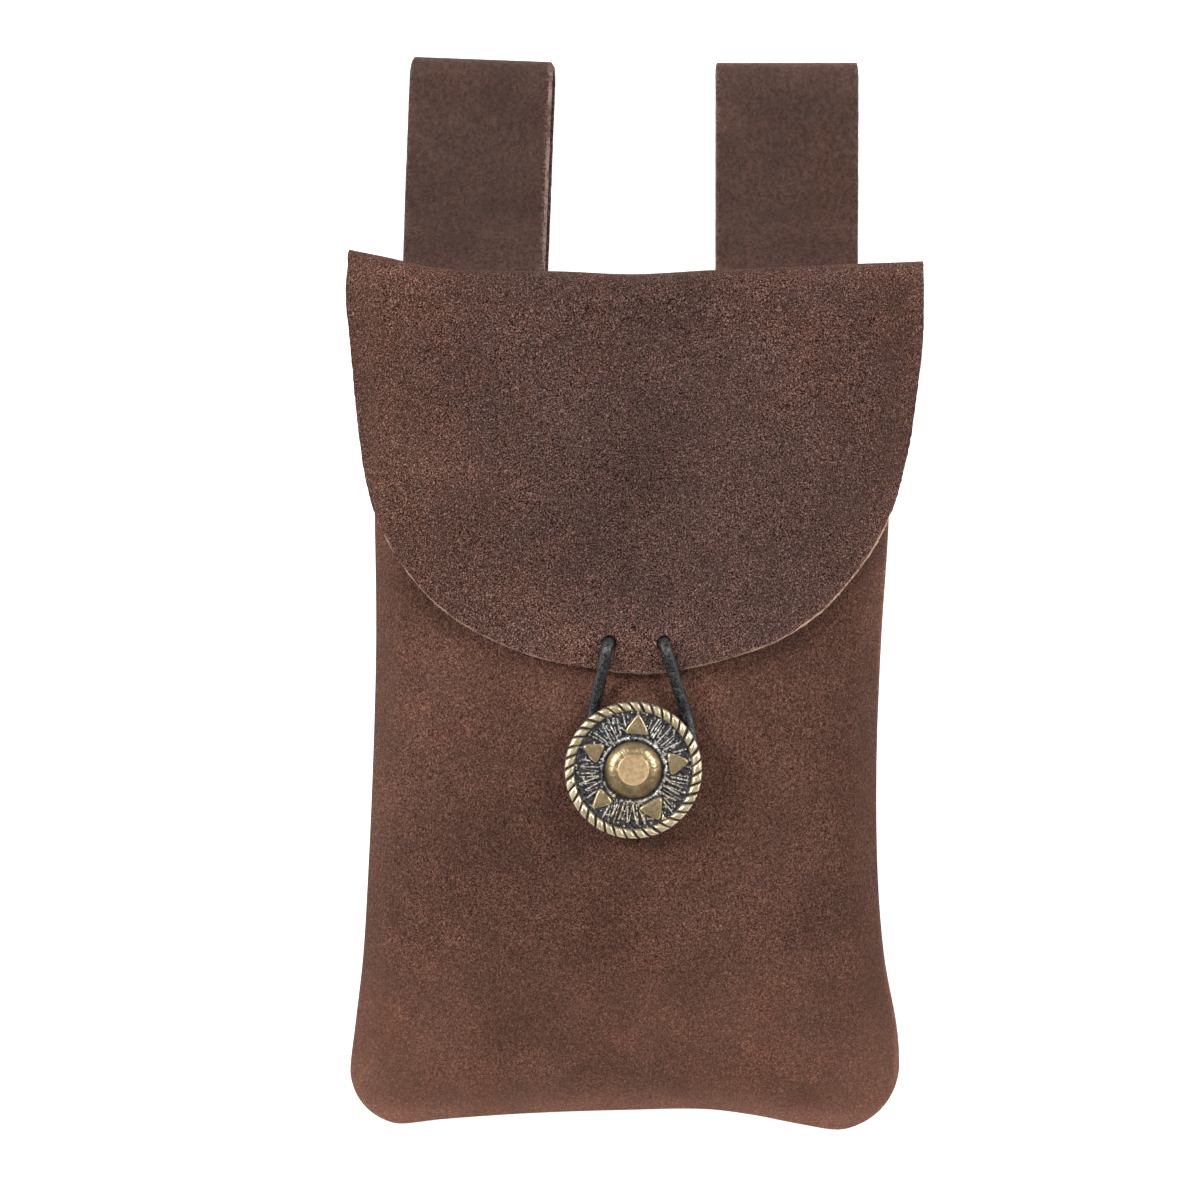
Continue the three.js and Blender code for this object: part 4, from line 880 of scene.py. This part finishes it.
def button_mesh(name):
    sides = ROPE_STRANDS * 20
    radii = np.concatenate([
        [BUTTON_RADIUS - 0.02],
        BUTTON_RADIUS - ROPE_WIDTH / 2 * (1 - np.cos(np.linspace(0.12, math.pi - 0.1, 20))),
        np.linspace(BUTTON_RADIUS - ROPE_WIDTH - 0.05, 6.9, 46),
        [6.75, 6.45, DOME_RADIUS + 0.04],
        DOME_RADIUS - (DOME_RADIUS - DISC_RADIUS) * (1 - np.cos(np.linspace(0.05, math.pi / 2, 16))),
        DISC_RADIUS - np.array([0.04, 0.08, 0.12, 0.17, 0.24, 0.3, 0.38, 0.5, 0.7]),
        [2.2, 1.4, 0.7],
    ])
    angle = np.linspace(0, 2 * math.pi, sides, endpoint=False)
    r, a = np.meshgrid(radii, angle, indexing="ij")
    height, marks = button_face(r, a)
    z = PLATE + height
    z[0] = PLATE * 0.75
    lobes = 0.12 * (1 - np.abs(2 * ((a[0] * ROPE_STRANDS / (2 * math.pi)) % 1.0) - 1) ** 2)
    r = r.copy()
    r[0] += lobes - 0.12
    r[1] += lobes - 0.12
    points = np.stack([r * np.cos(a), r * np.sin(a), z], -1).reshape(-1, 3)
    # Underneath: a plain back and the post
    post_end = -(CORD + 2 * CORD_CLEARANCE - SEAT)
    under = [(BUTTON_RADIUS - 0.35, 0.35), (BUTTON_RADIUS - 0.9, 0.0), (POST_RADIUS + 0.25, 0.0)]
    under += [(POST_RADIUS, -0.25), (POST_RADIUS, post_end), (POST_BORE, post_end), (POST_BORE, 0.0)]
    x, y = np.cos(angle), np.sin(angle)
    low = [np.column_stack([reach * x, reach * y, np.full(sides, h)]) for reach, h in under]
    rows = len(radii)
    points = np.vstack([points] + low + [[(0, 0, PLATE + DOME_HEIGHT + DISC_HEIGHT), (0, 0, 0.0)]])
    faces = [ring_faces(row * sides, (row + 1) * sides, sides) for row in range(rows - 1)]
    start = [0] + [(rows + n) * sides for n in range(len(under))]
    faces += [ring_faces(s, e, sides)[:, [1, 0, 3, 2]] for s, e in zip(start[:-1], start[1:])]
    k = np.arange(sides)
    j = (k + 1) % sides
    top, bottom = len(points) - 2, len(points) - 1
    last = (rows - 1) * sides
    caps = np.stack([last + k, last + j, np.full(sides, top)], 1).tolist()
    caps += np.stack([start[-1] + j, start[-1] + k, np.full(sides, bottom)], 1).tolist()
    me = new_mesh(name, points, np.vstack(faces).tolist() + caps, 45)
    for label, values in marks.items():
        rest = np.zeros(len(points) - values.size)
        rest[-2] = label in ("bare", "disc")
        mark(me, label, values.ravel(), rest)
    return me


# Stitches

def stitch_runs(name, runs, radius, long):
    """Short capsules along lines: each run is a list of (point, direction, up)."""
    sides, rings = 8, 7
    points, faces = [], []
    t = np.linspace(0, 1, rings)
    fat = np.sqrt(np.clip(1 - (2 * t - 1) ** 4, 0.02, 1))
    for point, direction, up in runs:
        p, d, u = (np.array(v, float) for v in (point, direction, up))
        d = unit(d)
        w = np.cross(d, u)
        faces += tube_faces(len(points), rings, sides)
        for share, size in zip(t, fat):
            centre = p + d * (share - 0.5) * long - u * 0.5 * radius * (2 * share - 1) ** 2
            for k in range(sides):
                a = 2 * math.pi * k / sides
                points.append(centre + radius * size * (u * math.sin(a) + w * math.cos(a)))
    return new_mesh(name, points, faces, 60)


# Materials

class Look:
    """A material under construction, with short calls for its nodes."""

    def __init__(self, name):
        self.material = bpy.data.materials.new(name)
        self.material.use_nodes = True
        self.tree = self.material.node_tree
        self.tree.nodes.clear()
        out = self.tree.nodes.new("ShaderNodeOutputMaterial")
        self.shader = self.tree.nodes.new("ShaderNodeBsdfPrincipled")
        self.tree.links.new(self.shader.outputs[0], out.inputs[0])

    def set(self, inputs, n=None):
        """Links sockets to the inputs of a node, or of the shader, and writes values on them."""
        n = n or self.shader
        for key, value in inputs.items():
            if isinstance(value, bpy.types.NodeSocket):
                self.tree.links.new(value, n.inputs[key])
            else:
                n.inputs[key].default_value = value
        return self.material

    def node(self, kind, inputs, output=0, **settings):
        n = self.tree.nodes.new(kind)
        for key, value in settings.items():
            setattr(n, key, value)
        self.set(inputs, n)
        return n.outputs[output]

    def placed(self, **inputs):
        where = self.node("ShaderNodeTexCoord", {}, "Object")
        return self.node("ShaderNodeMapping", {"Vector": where, **inputs})

    def noise(self, scale, detail=3.0, rough=0.6, stretch=(1, 1, 1), seed=0.0):
        """Noise of that many features to a millimetre, centred on 0.5."""
        size = tuple(s / MM for s in stretch)
        vector = self.placed(Location=(seed, seed * 1.7, -seed), Scale=size)
        inputs = {"Vector": vector, "Scale": scale, "Detail": detail, "Roughness": rough}
        return self.node("ShaderNodeTexNoise", inputs)

    def remap(self, value, low, high, to_low=0.0, to_high=1.0):
        inputs = {"Value": value, "From Min": low, "From Max": high, "To Min": to_low, "To Max": to_high}
        return self.node("ShaderNodeMapRange", inputs)

    def plus(self, a, b):
        return self.node("ShaderNodeMath", {0: a, 1: b}, operation="ADD")

    def times(self, a, b):
        return self.node("ShaderNodeMath", {0: a, 1: b}, operation="MULTIPLY")

    def mix(self, factor, a, b, blend="MIX"):
        a, b = ((*value, 1.0) if isinstance(value, tuple) else value for value in (a, b))
        inputs = {"Factor": factor, 6: a, 7: b}
        return self.node("ShaderNodeMix", inputs, 2, data_type="RGBA", blend_type=blend)

    def tint(self, colour, by):
        return self.mix(1.0, colour, by, "MULTIPLY")

    def attribute(self, name):
        return self.node("ShaderNodeAttribute", {}, "Fac", attribute_name=name)

    def bump(self, height, strength, distance, **more):
        inputs = {"Strength": strength, "Distance": distance, "Height": height, **more}
        return self.node("ShaderNodeBump", inputs)


WARM = (1.13, 1.0, 0.86)  # what the warmest leather's colour is multiplied by
FRAYED = (0.3, 0.19, 0.15)
UNDER_CUT = (0.06, 0.034, 0.027)


def suede(name, deep, light, speck, crisp, soft, bright, patchy, hues, seed):
    """Suede: a speckled nap over soft patches, with a velvet sheen. speck is the size of a grain
    in millimetres, crisp how hard it stands out, soft the share of longer, softer nap, bright
    the strength of its pale tips, patchy how much the tone wanders, and hues how much the
    colour does. The attribute warm turns it redder."""
    look = Look(name)
    fine = look.noise(1 / speck, 0.0, 0.5, seed=seed)
    fibre = look.noise(0.5 / speck, 2.0, 0.7, (1.0, 0.6, 1.0), seed + 3)
    spark = look.noise(0.8 / speck, 1.0, 0.6, (1.0, 0.7, 1.0), seed + 31)
    medium = look.noise(0.13, 4.0, 0.65, seed=seed + 9)
    large = look.noise(0.03, 3.0, 0.55, seed=seed + 17)
    hue = look.noise(0.6 / speck, 2.0, 0.7, seed=seed + 23)
    # The nap lies flatter, and its grain is fainter, in some patches and where it is worn.
    lying = look.remap(medium, 0.36, 0.62, 0.75, 1.15)
    calm = look.remap(look.attribute("worn"), 0.0, 1.0, 1.0, 0.4)
    crisp_grain = look.remap(fine, 0.5 - crisp, 0.5 + crisp, -0.5, 0.5)
    soft_grain = look.remap(fibre, 0.36, 0.64, -0.5, 0.5)
    grain = look.plus(look.times(crisp_grain, 1 - soft), look.times(soft_grain, soft))
    swing = look.times(look.times(grain, lying), calm)
    base = look.mix(look.plus(swing, 0.5), deep, light)
    tips = look.times(look.remap(spark, 0.58, 0.7, 0.0, min(bright, 1.0)), calm)
    paler = (1 + v * max(bright, 1.0) for v in (0.75, 0.95, 1.05))
    base = look.mix(tips, base, tuple(k * v for k, v in zip(paler, light)))
    warm = tuple(1 + hues * v for v in (0.16, -0.04, -0.14))
    cool = tuple(1 - hues * v for v in (0.14, -0.03, -0.12))
    wander = look.plus(look.remap(hue, 0.38, 0.62, 0.0, 0.7), look.remap(medium, 0.38, 0.6, 0.0, 0.3))
    base = look.mix(wander, look.tint(base, cool), look.tint(base, warm))
    base = look.mix(look.attribute("warm"), base, look.tint(base, WARM))
    patches = look.plus(look.remap(medium, 0.3, 0.7, -0.5, 0.5), look.remap(large, 0.3, 0.7, -0.7, 0.7))
    # The colour is scaled by the leather's random tone and by painted light and painted shade, which the
    # tone attribute carries.
    factor = look.times(look.plus(look.times(patches, patchy), 1.0), look.attribute("tone_and_painted_light"))
    shades = look.node("ShaderNodeCombineColor", {0: factor, 1: factor, 2: factor})
    frayed = look.times(look.attribute("near_cut"), look.remap(fine, 0.44, 0.58))
    nap = look.bump(grain, 0.8, 0.0002)
    return look.set({
        "Base Color": look.mix(look.times(frayed, 0.35), look.tint(base, shades), FRAYED),
        "Roughness": look.remap(grain, -0.5, 0.5, 0.98, 0.82),
        "Specular IOR Level": 0.12,
        "Sheen Weight": 0.06,
        "Sheen Roughness": 0.5,
        "Sheen Tint": (0.9, 0.56, 0.42, 1.0),
        "Normal": look.bump(medium, 0.3, 0.0006, Normal=nap),
    })


def cut_leather(name, dark, pale):
    """The raw edge of the leather, pale and fibrous."""
    look = Look(name)
    fibre = look.noise(1.5, 3.0, 0.75, seed=5.0)
    run = look.noise(0.16, 3.0, 0.6, seed=15.0)
    level = look.plus(fibre, look.times(look.plus(run, -0.5), 0.8))
    light = look.mix(look.remap(level, 0.41, 0.55), dark, pale)
    return look.set({
        "Base Color": look.mix(look.attribute("near_cut"), UNDER_CUT, light),
        "Roughness": 0.95,
        "Specular IOR Level": 0.1,
        "Normal": look.bump(fibre, 0.8, 0.0002),
    })


def cord_leather(name):
    """Black leather, worn grey on its highlights."""
    look = Look(name)
    grain = look.noise(2.4, 2.0, 0.75, (1.0, 0.6, 1.0), 2.0)
    worn = look.noise(0.5, 3.0, 0.6, seed=6.0)
    wear = look.times(look.remap(grain, 0.47, 0.64), look.remap(worn, 0.35, 0.65, 0.3, 1.0))
    return look.set({
        "Base Color": look.mix(wear, (0.0025, 0.0027, 0.0029), (0.055, 0.058, 0.057)),
        "Roughness": look.remap(grain, 0.38, 0.62, 0.2, 0.55),
        "Specular IOR Level": 0.62,
        "Normal": look.bump(grain, 0.9, 0.0002),
    })


def brass_base(look, fine):
    """Brass of uneven colour. fine is its grain."""
    cloud = look.noise(0.35, 3.0, 0.6, seed=12.0)
    brass = look.mix(look.remap(fine, 0.35, 0.65), (0.5, 0.38, 0.21), (0.8, 0.66, 0.42))
    return look.mix(look.remap(cloud, 0.4, 0.65, 0.0, 0.4), brass, (0.46, 0.33, 0.18))


def cast_brass(name):
    """Antique brass: bare and rubbed on what stands up, dark in the recesses."""
    look = Look(name)
    fine = look.noise(1.3, 4.0, 0.7, seed=4.0)
    brass = brass_base(look, fine)
    bare, pale, disc, dull_and_shade, rubbed_and_highlight = (look.attribute(k) for k in ("bare", "pale", "disc", "dull_and_shade", "rubbed_and_highlight"))
    grain = look.remap(fine, 0.35, 0.65)
    patina = look.mix(look.remap(fine, 0.4, 0.6), (0.007, 0.007, 0.0085), (0.055, 0.052, 0.056))
    silver = look.mix(look.remap(fine, 0.35, 0.6), (0.24, 0.225, 0.215), (0.8, 0.77, 0.72))
    brass = look.mix(disc, brass, look.mix(grain, (0.62, 0.43, 0.23), (0.76, 0.55, 0.32)))
    brass = look.mix(rubbed_and_highlight, brass, look.mix(grain, (0.72, 0.56, 0.32), (1.0, 0.88, 0.64)))
    # Duller, darker brass: the rays' own colour, and painted shade on the dome's lower flank.
    brass = look.mix(dull_and_shade, brass, (0.24, 0.17, 0.085))
    polish = look.node("ShaderNodeMath", {0: bare, 1: look.times(pale, 0.8)}, operation="MAXIMUM")
    rough = look.plus(look.remap(polish, 0.0, 1.0, 0.62, 0.33), look.times(disc, 0.14))
    rough = look.plus(rough, look.times(dull_and_shade, 0.14))
    return look.set({
        "Base Color": look.mix(bare, look.mix(pale, patina, silver), brass),
        "Metallic": look.remap(polish, 0.0, 1.0, 0.35, 1.0),
        "Roughness": look.plus(rough, look.remap(fine, 0.35, 0.65, -0.05, 0.08)),
        "Specular IOR Level": 0.25,
        "Normal": look.bump(fine, 0.5, 0.00007),
    })


def turned_brass(name):
    """Plain brass, as the screw's."""
    look = Look(name)
    fine = look.noise(1.3, 4.0, 0.7, seed=4.0)
    return look.set({
        "Base Color": brass_base(look, fine),
        "Metallic": 1.0,
        "Roughness": look.remap(fine, 0.35, 0.65, 0.3, 0.45),
        "Normal": look.bump(fine, 0.5, 0.00007),
    })


def twisted_thread(name):
    look = Look(name)
    vector = look.placed(Rotation=(0, 0, 0.7), Scale=(1 / MM, 1 / MM, 1 / MM))
    ply = look.node("ShaderNodeTexWave", {"Vector": vector, "Scale": 0.9, "Distortion": 1.0}, 1)
    return look.set({
        "Base Color": look.mix(ply, (0.035, 0.02, 0.015), (0.11, 0.07, 0.052)),
        "Roughness": 0.7,
        "Normal": look.bump(ply, 0.6, 0.00006),
    })


# Pieces

body_suede = suede(
    "body_suede", deep=(0.018, 0.0075, 0.005), light=(0.112, 0.052, 0.0362), speck=0.31, crisp=0.09,
    soft=0.4, bright=0.7, patchy=0.24, hues=0.4, seed=1.0)
flap_suede = suede(
    "flap_suede", deep=(0.0042, 0.0022, 0.0019), light=(0.0986, 0.051, 0.0408), speck=0.25, crisp=0.035,
    soft=0.1, bright=1.85, patchy=0.18, hues=0.4, seed=5.0)
loop_suede = suede(
    "loop_suede", deep=(0.036, 0.0202, 0.0162), light=(0.0665, 0.0376, 0.0303), speck=0.6, crisp=0.2,
    soft=0.5, bright=0.15, patchy=0.14, hues=0.3, seed=8.0)
cut_edge = cut_leather("cut_edge", dark=(0.16, 0.092, 0.065), pale=(0.47, 0.305, 0.22))
strap_edge = cut_leather("strap_edge", dark=(0.1, 0.06, 0.047), pale=(0.29, 0.195, 0.16))
brass = cast_brass("brass_cast")
plain_brass = turned_brass("brass_plain")
black_cord = cord_leather("cord_leather")
thread = twisted_thread("thread")

# Soft patches of the leather: middle, reach across and along, and strength. A tone's patch is
# paler or darker than the leather around it, and a warmth's redder or greyer.
FRONT_TONES = [
    (-28, -37, 11, 9, -0.2), (-8, -53, 8, 11, -0.2), (-26, -72, 11, 8, -0.12), (44, -72, 8, 8, -0.1),
    (-44, 3, 12, 12, 0.2), (-46, -50, 11, 10, 0.14), (18, -49, 12, 9, 0.1), (34, -10, 11, 14, 0.1),
    # The last patch, below the flap's tip, is painted light: it lifts the shade that the tip throws on the
    # front.
    (-6, -52, 38, 30, -0.1), (FLAP_TIP, TIP_Y - 4, 18, 7, 0.42),
]
FLAP_TONES = [
    (-3, 49, 11, 11, -0.12), (-5, 26, 11, 10, -0.16), (8, 80, 16, 8, -0.12), (-30, 89, 15, 4, -0.16),
    (42, 30, 10, 8, -0.06), (-50, 58, 11, 13, 0.13), (36, 80, 16, 10, 0.11), (-30, 20, 9, 7, 0.04),
    # The patch at the tip is painted light: it lifts the shade where the pinched tip slopes down.
    (32, 10, 20, 9, -0.08), (FLAP_TIP, TIP_Y, 30, 16, 0.2),
]
FLAP_WARMTH = [(4, 48, 34, 34, -0.5), (-30, 18, 16, 14, 0.25), (32, 22, 22, 18, -0.3)]
STRAP_WARMTH = {-1: [(-40, 132, 9, 8, 0.35)], 1: [(42, 113, 9, 11, 0.4)]}


def patches(x, y, spots):
    total = 0
    for across, up, wide, long, strength in spots:
        total = total + strength * bell((x - across) / wide) * bell((y - up) / long)
    return total


def front_edges(x, y):
    """Distances from the leather's turn at the side seams and at the bottom seam."""
    side = (1 - np.abs(on_bag(x, y)[0])) * HALF_BAG
    bottom = y - bottom_at(x / HALF_BAG) * HALF_LENGTH
    return np.maximum(0, side - LEATHER / 2), np.maximum(0, bottom - LEATHER / 2)


def front_worn(x, y, z):
    """Rubbed smooth along the seams, most of all at the corners."""
    side, bottom = front_edges(x, y)
    strip = np.maximum(smooth(1 - (side - 3.5) / 6), 0.8 * smooth(1 - (bottom - 3) / 8))
    corners = bell((side - 4) / 10) * bell((bottom - 6) / 15)
    blotch = 0.75 + 0.35 * mottle(x, y, 9, 3)
    low = 0.55 * smooth((-50 - y) / 20)
    return np.clip((0.75 * strip + corners) * blotch + low, 0, 1)


def by_flap_edge(x, y, z, reach):
    """1 by the flap's free edge, seen from the front, and 0 away from it."""
    close, far = np.zeros(len(x)), 4 * reach
    near = (y > TIP_Y - far) & (y < FOLD_Y - FLAP_PARTS + far) & (z > SEAM_HEIGHT)
    for k in np.where(near)[0]:
        close[k] = bell(free_edge.find((x[k], y[k], 0))[2] / reach)
    return close


def under_flap(x, y, z):
    """The flap's shadow, which is darkest at its two sides."""
    aside = np.abs(x - FLAP_TIP)
    return by_flap_edge(x, y, z, 2.6) * smooth((aside - 20) / 14) * (1 - 0.7 * smooth((aside - 50) / 6))


def front_tone(x, y, z):
    """Paler towards the seams and the bottom, with a painted highlight along the right side's rolled seam
    and a painted shadow under the flap's edge.
    """
    side, bottom = front_edges(x, y)
    corners = bell((side - 3) / 12) * bell((bottom - 5) / 18)
    seams = 0.13 * bell(side / 6) + 0.16 * corners + 0.36 * smooth((-48 - y) / 38)
    hem = (0.92 + 0.14 * smooth(x / 40)) * bell(bottom / 3.4)
    # Painted highlight: a thin pale line on the right side's rolled seam, where light catches it.
    rubbed_and_highlight = bell(side / 0.5) * (x > 0) * (0.1 + 0.75 * smooth((np.abs(y + 26) - 14) / 18))
    shoulders = 0.05 * smooth(-x / 40) + 0.04 * smooth((y + 10) / 30)
    clouds = 0.06 * mottle(x, y, 16, 21) + 0.05 * mottle(x + 0.5 * y, y, 8, 22) + patches(x, y, FRONT_TONES)
    return 1.0 + seams + hem + rubbed_and_highlight + shoulders + clouds - 0.3 * under_flap(x, y, z)


def front_warm(x, y, z):
    return np.clip(0.12 * smooth((-35 - y) / 35) + 0.2 * mottle(x, y, 9, 73), 0, 1)


def flap_tone(x, y, z):
    """Darkest across the middle, paler at the left, and paler towards the tip and along the right and lower
    right edges as painted light, which lifts the shade where the leather slopes down there.
    """
    heart = bell((x - 1 - 0.25 * (y - 52)) / 42) * bell((y - 52) / 30)
    # Painted light: paler along the flap's right edge, where the leather droops away from the lamps.
    from_right = flap_right_at((FOLD_Y - y) / FLAP_LENGTH) * HALF_FLAP - x
    right = 0.28 * bell(np.maximum(0, from_right) / 4) * smooth((y - 36) / 8)
    sides = 0.03 * smooth((-x - 20) / 30) + 0.03 * smooth((x - 30) / 25) + right
    fold = (0.24 * bell((FOLD_Y - y) / 1.7) + 0.08 * bell((FOLD_Y - y) / 6)) * (z > SEAM_HEIGHT)
    clouds = 0.06 * mottle(x, y, 13, 41) + 0.04 * mottle(x - 0.4 * y, y, 7, 42) + patches(x, y, FLAP_TONES)
    # Painted light along the lower right edge, where the leather droops likewise.
    low_right = 0.2 * by_flap_edge(x, y, z, 2.4) * smooth((x - 8) / 12)
    return 1.04 - 0.14 * heart + sides + fold + clouds + low_right


def flap_warm(x, y, z):
    """Grey in the middle and redder around it, most of all at the left."""
    redder = 0.37 + 0.5 * smooth((-x - 32) / 26) + patches(x, y, FLAP_WARMTH)
    redder = redder + 0.25 * mottle(x, y, 9, 71) + 0.2 * mottle(x, y, 4, 72)
    return np.where(z > SEAM_HEIGHT, np.clip(redder, 0, 1.1), 0.5)


def strap_tone(x, y, z, side, reach):
    """Paler low down, where the strap runs in behind the fold, as painted light that lifts the fold's shade
    there, and along its top.
    """
    # Painted light: lifts the shade that the flap's fold throws on the strap's low end.
    low = 0.47 * smooth((FOLD_Y + 16 - y) / 14) * (z > STRAP)
    down = FOLD_Y + reach - y
    top = 0.5 * bell(down / 1.4) + 0.22 * bell(down / 6) if side > 0 else 0.28 * bell(down / 4)
    return 1.0 + low + top + 0.09 * mottle(x, y, 8, 51) + 0.04 * mottle(x, y, 3, 52)


def strap_warm(x, y, side):
    warmth = patches(x, y, STRAP_WARMTH[side]) + 0.08 * side
    return np.clip(warmth + 0.2 * mottle(x, y, 5, 53), 0, 1)


def flap_open(x, y, z):
    """1 on the flap's lower rim, from where it comes away from the side seams, and 0 above."""
    return smooth((FOLD_Y - FLAP_PARTS - y) / 4)


def flap_bevel(x, y, z):
    """How wide the cut shows: more at the right than at the tip and the left, and nowhere the
    same."""
    width = (0.17 + 0.11 * smooth((x - FLAP_TIP) / 38)) * (1 + 0.5 * mottle(x, y, 2.6, 61))
    return lerp(0.05, width, flap_open(x, y, z))


def flap_raw(x, y, z):
    """How pale the cut is: least at the tip and high up at the left."""
    # Less pale at the far left is painted shade: it tones down the left lamp's strong light on the steep cut
    # there.
    most = np.where(x > FLAP_TIP, 0.95, 0.8 - 0.35 * smooth((-x - 42) / 10))
    return flap_open(x, y, z) * lerp(0.55, most, smooth(np.abs(x - FLAP_TIP) / 38))


def flap_worn(x, y, z):
    return np.clip(0.35 * bell(front_edges(x, y)[0] / 4) + 0.2 * mottle(x, y, 11, 5), 0, 1)


flap_sheet, flap_rim = back_and_flap()
free_rim = flap_rim[flap_open(*flap_rim.T) > 0.5]
free_edge = nearest_of([(x, y, 0) for x, y, _ in free_rim], range(len(free_rim)))

sheet = Sheet()
bag_panel(sheet, 1, front_height, FRONT_GRID, front_relief)
front_looks = (("tone_and_painted_light", front_tone), ("worn", front_worn), ("warm", front_warm))
front_mesh = leather_mesh("front_leather", sheet, LEATHER, bevel=0.2, fray=0.02, seed=2, looks=front_looks)
place("front_leather", dressed(front_mesh, body_suede, cut_edge), "suede", "front_panel")

flap_looks = (("tone_and_painted_light", flap_tone), ("worn", flap_worn), ("warm", flap_warm))
flap_mesh = leather_mesh(
    "back_leather", flap_sheet, LEATHER, flap_bevel, fray=0.06, seed=3, looks=flap_looks, raw=flap_raw)
dressed(flap_mesh, flap_suede, cut_edge)
for hole_x in (HOLE_LEFT, HOLE_RIGHT):
    flap_mesh = cut_hole(flap_mesh, hole_x, HOLE_Y - 0.12, HOLE_RADIUS)
place("back_and_flap_leather", flap_mesh, "suede", "back_panel_and_flap")
fibres = edge_fibres("flap_fibres", free_rim, count=150, seed=17)
place("flap_fibres", dressed(fibres, cut_edge), "suede")

# Side, inset, reach over the fold, turn in degrees, skew, worn corner, open edge, and the node
LOOPS = [
    ("loop_left", -1, 12.8, 47.0, -2.2, 0.7, 2.3, 0.6, "belt_loop_left"),
    ("loop_right", 1, 14.0, 46.2, 0.0, 0.0, 1.3, 0.12, "belt_loop_right"),
]
for seed, (name, *shape, cad) in enumerate(LOOPS):
    strap = belt_loop(name, *shape, seed + 4)
    place(name, dressed(strap, loop_suede, strap_edge), "strap_suede", cad)

place("cord", dressed(cord_mesh("cord", radius=1.33), black_cord), "cord", "closure_cord")

# The button leans with the front that it stands on.
ABOUT = 5.0
slope = (float(front_top(0, BUTTON_Y + ABOUT)) - float(front_top(0, BUTTON_Y - ABOUT))) / (2 * ABOUT)
button = button_mesh("button_face")
flat = np.zeros(len(button.vertices) * 3)
button.vertices.foreach_get("co", flat)
x, y, z = (flat.reshape(-1, 3) / MM).T
y, z = rotated(y, z + CORD + 2 * CORD_CLEARANCE, math.atan(slope))
leaning = np.column_stack([x, y + BUTTON_Y, z + float(front_top(0, BUTTON_Y))])
button.vertices.foreach_set("co", (leaning * MM).ravel())
button.update()
place("button_face", dressed(button, brass), "brass", "button")

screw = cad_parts["button_screw"]
screw.data.materials.clear()
dressed(screw.data, plain_brass)


def box_stitch(side, inset, turn, z, up):
    """A rectangle of stitches that holds one belt loop, on the level z."""
    across = side * (HALF_FLAP - inset - LOOP_WIDTH / 2)
    tilt = math.radians(turn)
    wide, low, high, step = 11.5, LOOP_END_Y + 3.5 - FOLD_Y, -6.5, 3.2
    corners = [(-wide, low), (wide, low), (wide, high), (-wide, high)]
    runs = []
    for start, end in zip(corners, corners[1:] + corners[:1]):
        length = math.dist(start, end)
        count = round(length / step)
        ahead = rotated((end[0] - start[0]) / length, (end[1] - start[1]) / length, tilt)
        for m in range(count):
            share = (m + 0.5) / count
            x, y = rotated(lerp(start[0], end[0], share), lerp(start[1], end[1], share), tilt)
            runs.append(((across + x, FOLD_Y + y, z), (*ahead, 0), (0, 0, up)))
    return runs


stitches = []
for _, side, inset, _, turn, *_ in LOOPS:
    stitches += box_stitch(side, inset, turn, 0.03, -1)
    stitches += box_stitch(side, inset, turn, STRAP_LIFT + LEATHER - 0.03, 1)
sewn = stitch_runs("loop_stitches", stitches, radius=0.26, long=2.6)
place("loop_stitches", dressed(sewn, thread), "cord")

# Floor and light

FLOOR_HALF, FLOOR_Z = 6.0, -0.0004
floor_mesh = bpy.data.meshes.new("floor")
square = [(x * FLOOR_HALF, y * FLOOR_HALF, 0) for x, y in ((-1, -1), (1, -1), (1, 1), (-1, 1))]
floor_mesh.from_pydata(square, [], [(0, 1, 2, 3)])
floor = bpy.data.objects.new("floor", floor_mesh)
floor.location.z = FLOOR_Z
scene.collection.objects.link(floor)
pale_floor = Look("floor").set({
    "Base Color": (0.9, 0.9, 0.9, 1),
    "Roughness": 0.9,
    "Specular IOR Level": 0.0,
    "Emission Color": (1, 1, 1, 1),
    "Emission Strength": 0.6,
})
dressed(floor_mesh, pale_floor)
floor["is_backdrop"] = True

# Soft boxes that face the origin: place, width, height, watts, and whether metal shows them
LIGHTS = [
    ("light_left", (-1.0, 0.44, 0.95), 0.45, 0.55, 19.5, True),
    ("light_right", (1.0, 0.44, 0.95), 0.45, 0.55, 13.5, True),
    ("light_low", (0.0, -1.2, 1.2), 1.2, 0.5, 13, False),
]
for name, position, width, height, power, glossy in LIGHTS:
    data = bpy.data.lights.new(name, "AREA")
    data.shape, data.size, data.size_y, data.energy = "RECTANGLE", width, height, power
    light = bpy.data.objects.new(name, data)
    scene.collection.objects.link(light)
    light.location = position
    light.rotation_euler = (-Vector(position)).to_track_quat("-Z", "Y").to_euler()
    light.visible_glossy = glossy
world = bpy.data.worlds.new("studio")
world.use_nodes = True
background = world.node_tree.nodes["Background"]
background.inputs["Color"].default_value = (1, 1, 1, 1)
background.inputs["Strength"].default_value = 0.38
scene.world = world

boxes = [[list(corner) for corner in box] for box in (cad_box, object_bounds())]
